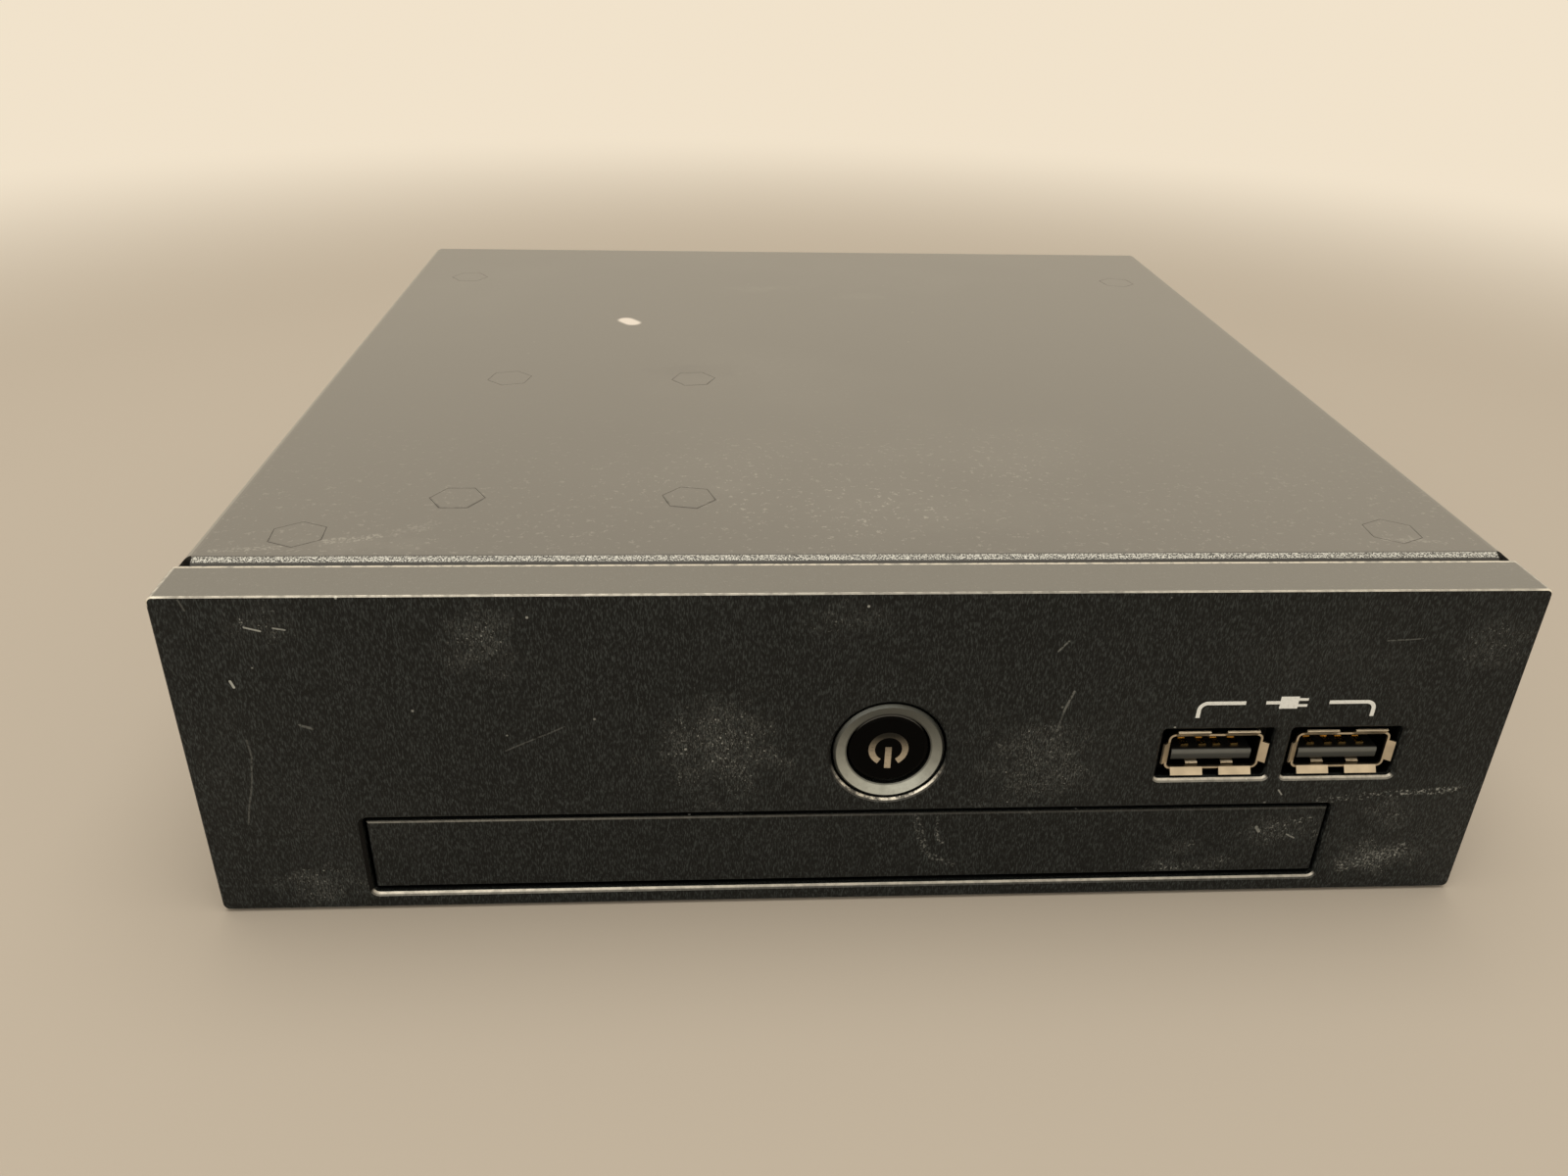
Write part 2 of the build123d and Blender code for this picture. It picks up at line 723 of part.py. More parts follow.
with BuildPart() as video_socket:
    add(rear_socket(*rear_sockets[1]))
    video_z = board_low - video_height / 2
    with BuildSketch(rear_face):
        with Locations((-video_x, video_z)):
            Trapezoid(video_width - 2 * socket_wall, video_height - 2 * socket_wall, 70)
            Rectangle(video_width * 0.7, video_height * 0.2, mode=Mode.SUBTRACT)
    extrude(amount=-cavity_depth, mode=Mode.SUBTRACT)
save(video_socket.part, "video_socket")

with BuildPart() as network_socket:
    add(rear_socket(*rear_sockets[2]))
    network_z = board_low - network_height / 2
    with BuildSketch(rear_face):
        with Locations((-network_x, network_z)):
            Rectangle(network_width * 0.74, network_height * 0.58)
        with Locations((-network_x, network_z - network_height * 0.36)):
            Rectangle(network_width * 0.4, network_height * 0.14)
    extrude(amount=-cavity_depth, mode=Mode.SUBTRACT)
save(network_socket.part, "network_socket")

with BuildPart() as data_stack:
    add(rear_socket(*rear_sockets[3]))
    stack_step = stack_land + socket_height / 2
    stack_zs = (board_low - stack_step, board_low - stack_height + stack_step)
    with BuildSketch(rear_face):
        with Locations(*[(-stack_x, z) for z in stack_zs]):
            Rectangle(socket_width, socket_height)
        tongue_lift = tongue_gap + (tongue_height - socket_height) / 2
        with Locations(*[(-stack_x, z + tongue_lift) for z in stack_zs]):
            Rectangle(tongue_width, tongue_height, mode=Mode.SUBTRACT)
    extrude(amount=-cavity_depth, mode=Mode.SUBTRACT)
save(data_stack.part, "data_stack")

# Push button: dished ring on a threaded barrel, nut, cap with stem, and switch in a cup
ring_face = ring_recess + ring_dish
cap_face = ring_face + cap_sink
cap_back = cap_face + cap_depth
cap_stop = cap_back + button_travel + screw_play
shoulder = bezel_thickness + shell_gap
barrel_end = shoulder + sheet + barrel_length
bore = ring_radius - ring_width
cap_radius = bore - cap_play
barrel_radius = ring_radius - ring_shoulder
stem_bore = stem_radius + stem_play
ring_outline = [
    (bore, ring_face),
    (ring_radius - ring_play, ring_recess),
    (ring_radius, ring_recess + ring_play),
    (ring_radius, shoulder),
    (barrel_radius, shoulder),
    (barrel_radius, barrel_end),
    (stem_bore, barrel_end),
    (stem_bore, cap_stop),
    (bore, cap_stop),
]
save(turned(button_plane, button_axis, ring_outline), "button_ring")

stem_end = barrel_end + switch_cup_wall
cap_outline = [
    (0, cap_face),
    (cap_radius - cap_round, cap_face),
    (cap_radius - cap_round / 4, cap_face + cap_round / 4),
    (cap_radius, cap_face + cap_round),
    (cap_radius, cap_back),
    (stem_radius, cap_back),
    (stem_radius, stem_end),
    (0, stem_end),
]
save(turned(button_plane, button_axis, cap_outline), "power_button")

with BuildPart() as button_nut:
    with BuildSketch(face.offset(-(shoulder + sheet))):
        with Locations((button_x, button_z)):
            RegularPolygon(barrel_radius + nut_wall, 6)
            Circle(barrel_radius + screw_play, mode=Mode.SUBTRACT)
    extrude(amount=-nut_height)
save(button_nut.part, "button_nut")

switch_front = stem_end + button_travel + screw_play
switch_back = switch_front + switch_height
cup_radius = switch_size * 0.71 + switch_cup_wall
cup_outline = [
    (stem_bore, barrel_end),
    (cup_radius, barrel_end),
    (cup_radius, switch_back + switch_cup_wall),
    (0, switch_back + switch_cup_wall),
    (0, switch_back),
    (cup_radius - switch_cup_wall, switch_back),
    (cup_radius - switch_cup_wall, switch_front),
    (stem_bore, switch_front),
]
save(turned(button_plane, button_axis, cup_outline), "switch_cup")

with BuildPart() as button_switch:
    with BuildSketch(face.offset(-(switch_front + switch_cup_wall))):
        with Locations((button_x, button_z)):
            Rectangle(switch_size, switch_size)
    extrude(amount=-(switch_height - switch_cup_wall))
    with BuildSketch(face.offset(-(switch_front + switch_cup_wall))):
        with Locations((button_x, button_z)):
            Circle(stem_radius * 0.7)
    extrude(amount=switch_cup_wall)
save(button_switch.part, "button_switch")

# Data ports: stamped shells with flared tabs, tongues, contacts, board and bracket
shell_tip = front + port_recess
socket_front = shell_tip + flare_length
socket_back = shell_tip + socket_depth
half_w = socket_width / 2
half_h = socket_height / 2
outer_w = half_w + socket_wall
outer_h = half_h + socket_wall
tongue_z = port_z - half_h + tongue_gap + tongue_height / 2
tongue_front = socket_front + tongue_back
flare_slant = (flare_length**2 + flare_rise**2) ** 0.5
flare_miter = socket_wall * flare_rise / (flare_slant + flare_length)
tab_end = shell_tip + socket_wall * flare_rise / flare_slant
tab_lift = flare_rise + socket_wall * flare_length / flare_slant


def flare(plane, inside, width):
    """One tab of a port shell, bent outwards; drawn in a plane that runs (depth, outwards)."""
    with BuildPart() as tab:
        with BuildSketch(plane):
            with BuildLine():
                Polyline(
                    (socket_front, inside),
                    (shell_tip, inside + flare_rise),
                    (tab_end, inside + tab_lift),
                    (socket_front + flare_miter, inside + socket_wall),
                    close=True,
                )
            make_face()
        extrude(amount=width / 2, both=True)
    return tab.part


def port_shell(x):
    """Metal shell of one data port, open at the front."""
    with BuildPart() as shell:
        with BuildSketch(face.offset(front - socket_front)):
            with Locations((x, port_z)):
                RectangleRounded(2 * outer_w, 2 * outer_h, socket_corner + socket_wall)
                RectangleRounded(socket_width, socket_height, socket_corner, mode=Mode.SUBTRACT)
        extrude(amount=socket_front - socket_back)
        for side in (-1, 1):
            for place in (-1, 1):
                tab_x = x + place * (tab_width + tab_gap) / 2
                plane = Plane(origin=(tab_x, 0, port_z), x_dir=(0, 1, 0), z_dir=(side, 0, 0))
                add(flare(plane, half_h, tab_width))
            plane = Plane(origin=(x, 0, port_z), x_dir=(0, 1, 0), z_dir=(0, 0, side))
            add(flare(plane, half_w, side_tab))
    return shell.part


for x, name in zip(port_xs, ("port_shell_left", "port_shell_right")):
    save(port_shell(x), name)

with BuildPart() as port_tongues:
    for x in port_xs:
        with Locations((x, tongue_front, tongue_z)):
            Box(
                tongue_width,
                socket_back - tongue_front,
                tongue_height,
                align=(Align.CENTER, Align.MIN, Align.CENTER),
            )
        with BuildSketch(face.offset(front - socket_back)):
            with Locations((x, port_z)):
                RectangleRounded(socket_width, socket_height, socket_corner)
        extrude(amount=2 * tongue_height)
    fillet(port_tongues.faces().sort_by(Axis.Y)[:2].edges().filter_by(Axis.X), tongue_height / 4)
save(port_tongues.part, "port_tongues")

contact_low = tongue_z + tongue_height / 2
contact_front = tongue_front + contact_width
with BuildPart() as port_contacts:
    for x in port_xs:
        contact_spots = [(x + step, contact_front, contact_low) for step in contact_offsets]
        with Locations(*contact_spots):
            Box(
                contact_width,
                contact_length,
                contact_thickness,
                align=(Align.CENTER, Align.MIN, Align.MIN),
            )
save(port_contacts.part, "port_contacts")

port_board_front = inner_front + seam
port_board_width = port_pitch + socket_width + 6 * sheet
with BuildPart() as port_board:
    with BuildSketch(Plane.XY.offset(port_board_low)):
        with Locations((port_mid_x, (port_board_front + socket_back) / 2 + sheet)):
            Rectangle(port_board_width, socket_back - port_board_front + 2 * sheet)
    extrude(amount=board_sheet)
save(port_board.part, "port_board")

with BuildPart() as port_bracket:
    bracket_z = port_board_low + board_sheet
    with Locations((port_mid_x, inner_front, bracket_z)):
        Box(
            port_board_width,
            socket_back - inner_front + 2 * sheet,
            sheet,
            align=(Align.CENTER, Align.MIN, Align.MIN),
        )
        Box(
            port_board_width,
            sheet,
            sheet + port_flange,
            align=(Align.CENTER, Align.MIN, Align.MIN),
        )
    with BuildSketch(wall_face):
        with Locations(*port_screw_spots):
            Circle(hole_radius)
    extrude(amount=-2 * sheet, mode=Mode.SUBTRACT)
save(port_bracket.part, "port_bracket")

port_planes = [
    Plane(origin=(x, shell_front, z), x_dir=(1, 0, 0), z_dir=(0, -1, 0)) for x, z in port_screw_spots
]
save(screws(port_planes, 2 * sheet + seam), "port_screws")

# Disc drive: folded case, lid, and fixed guide channels for the telescoping rails
with BuildPart() as drive_case:
    with Locations((0, drive_mid, drive_low)):
        Box(
            drive_width,
            drive_depth,
            drive_height - case_sheet,
            align=(Align.CENTER, Align.CENTER, Align.MIN),
        )
    with Locations((0, drive_mid - case_sheet, case_floor)):
        Box(
            2 * case_half,
            drive_depth,
            drive_height,
            align=(Align.CENTER, Align.CENTER, Align.MIN),
            mode=Mode.SUBTRACT,
        )
save(drive_case.part, "drive_case")

with BuildPart() as drive_lid:
    with Locations((0, drive_mid, drive_high)):
        Box(drive_width, drive_depth, case_sheet, align=(Align.CENTER, Align.CENTER, Align.MAX))
    with BuildSketch(Plane.XY.offset(drive_high)):
        with Locations((0, disc_y)):
            Circle(hub_radius * 2)
    extrude(amount=-case_sheet / 2, mode=Mode.SUBTRACT)
save(drive_lid.part, "drive_lid")

guide_front = drive_front + sheet
guide_length = drive_depth - case_sheet - sheet
rail_length = guide_length - rail_tail
slide_plane = Plane(origin=(0, guide_front, 0), x_dir=(1, 0, 0), z_dir=(0, -1, 0))
with BuildPart() as rail_guides:
    for side in (-1, 1):
        with BuildSketch(slide_plane):
            with Locations((side * (case_half - guide_reach / 2), rail_mid_z)):
                Rectangle(guide_reach, guide_height)
            with Locations((side * (case_half - guide_wall - guide_reach / 2), rail_mid_z)):
                Rectangle(guide_reach, guide_height - 2 * guide_wall, mode=Mode.SUBTRACT)
        extrude(amount=-guide_length)
save(rail_guides.part, "rail_guides")


def tray_rail(side):
    """One telescoping rail: a steel channel that opens inwards."""
    with BuildPart() as rail:
        with BuildSketch(slide_plane.offset(-sheet)):
            with Locations((side * (rail_outer - rail_width / 2), rail_mid_z)):
                Rectangle(rail_width, rail_height)
            with Locations((side * (rail_outer - rail_wall - rail_width / 2), rail_mid_z)):
                Rectangle(rail_width, rail_height - 2 * rail_wall, mode=Mode.SUBTRACT)
        extrude(amount=-rail_length)
    return rail.part


save(tray_rail(-1), "tray_rail_left")
save(tray_rail(1), "tray_rail_right")

# Disc tray: two-step well, pickup window, skirts whose tongues run in the rails
window_far = rod_far - disc_y + mount_thickness
window_half = worm_x + worm_radius + window_play
with BuildPart() as disc_tray:
    with BuildSketch(Plane.XY.offset(deck_low)):
        with Locations((0, (panel_back + tray_back) / 2)):
            Rectangle(2 * tray_half, tray_back - panel_back)
    extrude(amount=deck_thickness)
    with Locations((0, panel_back, slot_z)):
        Box(
            2 * tray_half,
            nose_thickness,
            panel_height - 2 * panel_gap_up,
            align=(Align.CENTER, Align.MIN, Align.CENTER),
        )
    with BuildSketch(Plane.XY.offset(deck_high)):
        with Locations((0, disc_y)):
            Circle(disc_radius)
    extrude(amount=-disc_depth, mode=Mode.SUBTRACT)
    with BuildSketch(Plane.XY.offset(well_floor)):
        with Locations((0, disc_y)):
            Circle(small_disc_radius)
    extrude(amount=-small_disc_depth, mode=Mode.SUBTRACT)
    for side in (-1, 1):
        with BuildSketch(slide_plane.offset(-sheet)):
            with Locations((side * (skirt_outer - skirt_width / 2), (skirt_low + deck_low) / 2)):
                Rectangle(skirt_width, deck_low - skirt_low)
            with Locations((side * (tongue_reach + skirt_outer - skirt_width) / 2, rail_mid_z)):
                Rectangle(tongue_reach - skirt_outer + skirt_width, rail_tongue)
        extrude(amount=-(tray_back - guide_front - sheet))
    with BuildSketch(Plane.XY.offset(deck_low)):
        with Locations((0, disc_y)):
            Circle(table_radius + window_play)
        with Locations((0, disc_y + window_far / 2)):
            Rectangle(2 * window_half, window_far)
    extrude(amount=deck_thickness, mode=Mode.SUBTRACT)
save(disc_tray.part, "disc_tray")

with BuildPart() as tray_front:
    with BuildSketch(face.offset(-panel_recess)):
        with Locations((0, slot_z)):
            Rectangle(panel_width, panel_height)
    extrude(amount=-panel_thickness)
    fillet(tray_front.faces().sort_by(Axis.Y)[0].edges(), panel_round)
save(tray_front.part, "tray_front")

# Steel plate under the tray with the mounts of the guide rods
plate_near = disc_y - motor_radius - window_play
plate_far = rod_far + mount_thickness
plate_half = window_half + 4 * window_play
with BuildPart() as traverse_plate:
    with BuildSketch(Plane.XY.offset(plate_low)):
        with Locations((0, (plate_near + plate_far) / 2)):
            Rectangle(2 * plate_half, plate_far - plate_near)
        with Locations((0, (rod_near + rod_far) / 2)):
            Rectangle(2 * window_half, rod_far - rod_near, mode=Mode.SUBTRACT)
        with Locations((0, disc_y)):
            Circle(shaft_radius + window_play, mode=Mode.SUBTRACT)
    extrude(amount=plate_sheet)
    for y in (rod_near - mount_thickness, rod_far):
        for x in (-rod_x, rod_x, worm_x):
            with Locations((x, y, plate_low)):
                Box(
                    4 * rod_radius,
                    mount_thickness,
                    plate_low - rod_z + 2 * rod_radius,
                    align=(Align.CENTER, Align.MIN, Align.MAX),
                )
save(traverse_plate.part, "traverse_plate")

with BuildPart() as guide_rods:
    with BuildSketch(face.offset(front - rod_near)):
        with Locations((-rod_x, rod_z), (rod_x, rod_z)):
            Circle(rod_radius)
    extrude(amount=rod_near - rod_far)
save(guide_rods.part, "guide_rods")

with BuildPart() as spindle_motor:
    with BuildSketch(Plane.XY.offset(motor_low)):
        with Locations((0, disc_y)):
            Circle(motor_radius)
    extrude(amount=motor_height)
    chamfer(spindle_motor.faces().sort_by(Axis.Z)[0].edges(), plate_sheet / 2)
    with BuildSketch(Plane.XY.offset(plate_low)):
        with Locations((0, disc_y)):
            Circle(shaft_radius)
            Circle(pin_radius, mode=Mode.SUBTRACT)
    extrude(amount=-motor_height / 2, mode=Mode.SUBTRACT)
save(spindle_motor.part, "spindle_motor")

hub_plane = Plane(origin=(0, disc_y, 0), x_dir=(1, 0, 0), z_dir=(0, -1, 0))
hub_axis = Axis((0, disc_y, 0), (0, 0, 1))
shaft_end = plate_low - motor_height / 2 + screw_play
hub_outline = [
    (pin_radius + stem_play, shaft_end),
    (shaft_radius - stem_play, shaft_end),
    (shaft_radius - stem_play, table_low),
    (table_radius, table_low),
    (table_radius, seat_z),
    (hub_radius, seat_z),
    (hub_radius, seat_z + hub_height / 2),
    (hub_radius - hub_height / 2, seat_z + hub_height),
    (pin_radius + stem_play, seat_z + hub_height),
]
with BuildPart() as spindle_hub:
    add(turned(hub_plane, hub_axis, hub_outline))
    with Locations((0, disc_y, seat_z + hub_height / 2)):
        with PolarLocations(hub_radius + ball_proud - ball_radius, ball_count):
            Sphere(ball_radius)
save(spindle_hub.part, "spindle_hub")

# Pickup sled on its rods, with the lens and the arm that follows the worm
sled_near = disc_y + sled_start
sled_mid = sled_near + sled_length / 2
with BuildPart() as pickup_sled:
    with Locations((0, sled_mid, sled_low)):
        Box(sled_width, sled_length, sled_height, align=(Align.CENTER, Align.CENTER, Align.MIN))
    with Locations((0, sled_mid - lens_radius, sled_low + sled_height)):
        Cylinder(lens_radius * 2, lens_rise, align=(Align.CENTER, Align.CENTER, Align.MIN))
        Cylinder(
            lens_radius + screw_play,
            lens_rise,
            align=(Align.CENTER, Align.CENTER, Align.MIN),
            mode=Mode.SUBTRACT,
        )
    with Locations((worm_x - worm_radius - slide_play, sled_near, rod_z)):
        Box(
            worm_x - worm_radius - slide_play,
            arm_length,
            sled_height / 2,
            align=(Align.MAX, Align.MIN, Align.CENTER),
        )
    with BuildSketch(face.offset(front - sled_near)):
        with Locations((-rod_x, rod_z), (rod_x, rod_z)):
            Circle(rod_radius + rod_play)
    extrude(amount=-sled_length, mode=Mode.SUBTRACT)
save(pickup_sled.part, "pickup_sled")

with BuildPart() as pickup_lens:
    with Locations((0, sled_mid - lens_radius, sled_low + sled_height)):
        Cylinder(lens_radius, lens_rise, align=(Align.CENTER, Align.CENTER, Align.MIN))
    fillet(pickup_lens.faces().sort_by(Axis.Z)[-1].edges(), lens_rise / 3)
save(pickup_lens.part, "pickup_lens")

worm_front = rod_near + slide_play
worm_back = rod_far - sled_motor_length - slide_play
with BuildPart() as lead_screw:
    with BuildSketch(face.offset(front - worm_front)):
        with Locations((worm_x, rod_z)):
            Circle(worm_radius)
    extrude(amount=worm_front - worm_back)
save(lead_screw.part, "lead_screw")

with BuildPart() as sled_motor:
    with BuildSketch(face.offset(front - worm_back - slide_play)):
        with Locations((worm_x, rod_z)):
            Circle(sled_motor_radius)
    extrude(amount=-sled_motor_length)
save(sled_motor.part, "sled_motor")

# Control board on the floor of the drive
with BuildPart() as drive_board:
    with BuildSketch(Plane.XY.offset(case_floor)):
        with Locations((-(skirt_outer + plate_half) / 2 + skirt_width, drive_mid)):
            Rectangle(skirt_outer - plate_half - 2 * skirt_width, drive_depth * 0.7)
    extrude(amount=drive_board_sheet)
save(drive_board.part, "drive_board")

# Bracket across the shell: ears hold the disc drive below it, and the storage drive lies on top
ear_ys = (drive_front + 2 * ear_length, drive_back - 2 * ear_length)
ear_z = drive_high - drive_height * 0.25
drive_planes = [
    Plane(origin=(side * (drive_width / 2 + sheet), y, ear_z), z_dir=(side, 0, 0))
    for side in (-1, 1)
    for y in ear_ys
]
storage_mid = drive_back - storage_depth / 2
storage_x = inner_half - sheet - storage_side - storage_width / 2
store_x = storage_width / 2 - screw_head_radius - sheet
store_ys = (storage_mid - storage_depth / 3, storage_mid + storage_depth / 3)
store_spots = [(storage_x + side * store_x, y) for side in (-1, 1) for y in store_ys]
store_planes = [Plane(origin=(x, y, bracket_low), z_dir=(0, 0, -1)) for x, y in store_spots]
with BuildPart() as drive_bracket:
    with Locations((0, drive_mid, bracket_low)):
        Box(2 * inner_half, drive_depth, sheet, align=(Align.CENTER, Align.CENTER, Align.MIN))
    with BuildSketch(Plane.XY.offset(bracket_low)):
        with Locations((cooler_x, cooler_y)):
            Circle(fan_radius)
    extrude(amount=sheet, mode=Mode.SUBTRACT)
    for side in (-1, 1):
        with Locations((side * inner_half, drive_mid, bracket_low)):
            Box(
                sheet,
                drive_depth,
                sheet + bracket_flange,
                align=(Align.MAX if side > 0 else Align.MIN, Align.CENTER, Align.MIN),
            )
        with Locations(*[(side * (drive_width + sheet) / 2, y, bracket_high) for y in ear_ys]):
            Box(sheet, ear_length, drive_height * 0.5, align=(Align.CENTER, Align.CENTER, Align.MAX))
    with BuildSketch(Plane.YZ):
        with Locations(*[(y, flange_z) for y in side_ys], *[(y, ear_z) for y in ear_ys]):
            Circle(hole_radius)
    extrude(amount=shell_width / 2, both=True, mode=Mode.SUBTRACT)
    with Locations(*store_planes):
        Cone(
            hole_radius,
            hole_radius + sheet,
            sheet,
            align=(Align.CENTER, Align.CENTER, Align.MAX),
            mode=Mode.SUBTRACT,
        )
save(drive_bracket.part, "drive_bracket")

save(screws(drive_planes, sheet), "drive_screws")
save(flush_screws(store_planes, sheet + storage_thread), "storage_screws")

with BuildPart() as storage_drive:
    with Locations((storage_x, storage_mid, bracket_high)):
        Box(storage_width, storage_depth, storage_height, align=(Align.CENTER, Align.CENTER, Align.MIN))
    fillet(storage_drive.edges().filter_by(Axis.Z), storage_height / 4)
    with BuildSketch(Plane.XY.offset(bracket_high)):
        with Locations(*store_spots):
            Circle(hole_radius)
    extrude(amount=storage_thread + screw_play, mode=Mode.SUBTRACT)
save(storage_drive.part, "storage_drive")


def lead(start_x, start_y, start_z, end_z):
    """A round lead that leaves backwards, bends up and ends under a header on the main board."""
    with BuildPart() as body:
        with BuildLine() as path:
            out = Line((start_x, start_y, start_z), (start_x, start_y + lead_run, start_z))
            knee = TangentArc(
                out @ 1,
                (start_x, start_y + lead_run + lead_bend, start_z + lead_bend),
                tangent=out % 1,
            )
            Line(knee @ 1, (start_x, start_y + lead_run + lead_bend, end_z))
        with BuildSketch(Plane(origin=out @ 0, z_dir=out % 0)):
            Circle(lead_radius)
        sweep()
    return body.part


header_low = board_low - header_height
lead_starts = [
    ("switch_lead", button_x, front + switch_back + switch_cup_wall, button_z),
    ("port_lead", port_mid_x, socket_back + 2 * sheet, port_board_low - lead_radius + board_sheet),
]
for name, x, y, z in lead_starts:
    save(lead(x, y, z, header_low), name)

with BuildPart() as lead_headers:
    for name, x, y, z in lead_starts:
        with Locations((x, y + lead_run + lead_bend, header_low)):
            Box(
                2 * header_size,
                header_size,
                header_height,
                align=(Align.CENTER, Align.CENTER, Align.MIN),
            )
save(lead_headers.part, "lead_headers")
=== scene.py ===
from math import cos, pi, radians, sin

import bmesh
import bpy
from mathutils import Matrix, Vector


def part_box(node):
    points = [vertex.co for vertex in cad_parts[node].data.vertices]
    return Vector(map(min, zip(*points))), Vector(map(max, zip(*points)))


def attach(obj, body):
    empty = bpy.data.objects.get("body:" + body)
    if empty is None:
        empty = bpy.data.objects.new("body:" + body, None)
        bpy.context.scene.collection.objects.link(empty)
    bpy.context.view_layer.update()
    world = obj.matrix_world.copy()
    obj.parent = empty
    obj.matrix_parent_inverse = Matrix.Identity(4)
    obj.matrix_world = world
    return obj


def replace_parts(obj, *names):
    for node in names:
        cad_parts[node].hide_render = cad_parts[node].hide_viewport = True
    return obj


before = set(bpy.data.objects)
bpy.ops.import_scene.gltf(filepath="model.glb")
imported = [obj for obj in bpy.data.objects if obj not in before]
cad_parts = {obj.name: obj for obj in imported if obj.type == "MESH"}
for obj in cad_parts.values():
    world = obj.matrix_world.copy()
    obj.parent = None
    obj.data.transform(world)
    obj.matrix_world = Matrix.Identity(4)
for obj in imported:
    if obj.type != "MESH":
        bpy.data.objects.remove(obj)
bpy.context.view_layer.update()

bl_info = {
    "name": "Slim disc player",
    "version": (1, 0, 0),
    "blender": (4, 5, 0),
    "location": "View3D > Sidebar > Disc Player",
    "description": "Finishes, prints and studio stage for a slim black disc player",
    "category": "Object",
}

MM = 0.001
PLATE_LOW, PLATE_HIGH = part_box("front_bezel")
FRONT = PLATE_LOW.y
PAN_LOW, PAN_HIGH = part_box("upper_pan")
PANEL_LOW, PANEL_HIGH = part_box("tray_front")
CAP_LOW, CAP_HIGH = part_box("power_button")
CAP_CENTRE = (CAP_LOW + CAP_HIGH) / 2
CAP_RADIUS = (CAP_HIGH.x - CAP_LOW.x) / 2
RING_LOW, RING_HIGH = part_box("button_ring")
RING_RADIUS = (RING_HIGH.x - RING_LOW.x) / 2
PORTS = ("port_shell_left", "port_shell_right")
PORT_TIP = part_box(PORTS[0])[0].y
TONGUE_LOW, TONGUE_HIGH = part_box("port_tongues")
CONTACT_LOW, CONTACT_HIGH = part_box("port_contacts")
CONTACT_STEPS = (-3.5, -1.0, 1.0, 3.5)  # contacts of a data port from its middle, in millimetres
STACK_LOW, STACK_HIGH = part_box("data_stack")
VIDEO_LOW, VIDEO_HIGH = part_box("video_socket")
NETWORK_LOW, NETWORK_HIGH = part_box("network_socket")
NETWORK_HALF = 3.8 * MM  # half the height of the network socket's opening
WORM_LOW, WORM_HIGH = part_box("lead_screw")
SHADOW_GAP = 0.3 * MM  # between the front plate and the shell
PLATE_BACK = PAN_LOW.y - SHADOW_GAP
HEAD_APOTHEM = 3.33 * MM  # half the width of a flush head across its flats
WHOLE, FAINT, SMEARED, RUBBED = -1.0, 0.34, 0.46, 0.50  # how far a scratch is broken up
BLACK = (0.0, 0.0, 0.0)
GAP_BLACK = (0.002, 0.002, 0.002)


def colour(name, description, default):
    """A colour that a user can change."""
    return bpy.props.FloatVectorProperty(
        name=name, description=description, default=default, subtype="COLOR", min=0.0, max=1.0)


def length(name, description, millimetres):
    """A length that a user can change."""
    return bpy.props.FloatProperty(
        name=name, description=description, default=millimetres * MM, min=0.0, unit="LENGTH")


def turn(name, description, degrees):
    """An angle that a user can change."""
    return bpy.props.FloatProperty(
        name=name, description=description, default=radians(degrees), unit="ROTATION")


class FinishProperties(bpy.types.PropertyGroup):
    """Colours of the player's finishes."""

    plate_colour: colour(
        "Plate", "Black anodise of the front plate and tray panel", (0.0094, 0.0110, 0.0112))
    coat_colour: colour("Powder coat", "Black powder coat of the folded shell", (0.036, 0.0345, 0.031))
    # pale metal of rubbed edges, also the colour of the painted highlights on upward-facing slants
    bare_and_highlight_colour: colour("Worn edge", "Bare aluminium where the anodise has rubbed off", (0.80, 0.78, 0.71))
    # dust that has settled; on the tops it also serves as painted sheen, and on the shell's side folds as
    # painted highlight
    dust_and_sheen_colour: colour("Dust", "Dust that has settled on the top", (0.33, 0.32, 0.285))
    smudge_colour: colour(
        "Smudge", "Skin marks and dust rubbed into the front plate's grain", (0.325, 0.340, 0.325))
    ring_colour: colour("Ring", "Satin metal of the button's ring", (0.265, 0.285, 0.275))
    nickel_colour: colour("Port shell", "Warm nickel plate of the data ports", (0.63, 0.55, 0.425))
    # colour of the painted glints along the shell's front fold
    glint_colour: colour(
        "Fold", "Bright specks in the coat along the shell's front fold", (0.78, 0.79, 0.74))
    # scales the real marks and the painted edge highlights
    wear_and_highlights: bpy.props.FloatProperty(
        name="Wear", description="How far the edges are worn and the faces marked",
        default=1.0, min=0.0, max=2.0, subtype="FACTOR")


class PrintProperties(bpy.types.PropertyGroup):
    """Sizes of the signs on the front."""

    stroke: length("Line width", "Width of the bracket lines over the ports", 0.55)
    bracket_top: length("Bracket height", "Bracket line above the plate's lower edge", 32.8)
    bracket_foot: length("Bracket foot", "Ends of the bracket above the plate's lower edge", 30.5)
    ink: length("Ink", "Thickness of the printed ink", 0.015)
    sign_radius: length("Standby radius", "Outer radius of the standby sign", 2.7)
    sign_stroke: length("Standby stroke", "Stroke of the standby sign", 0.86)


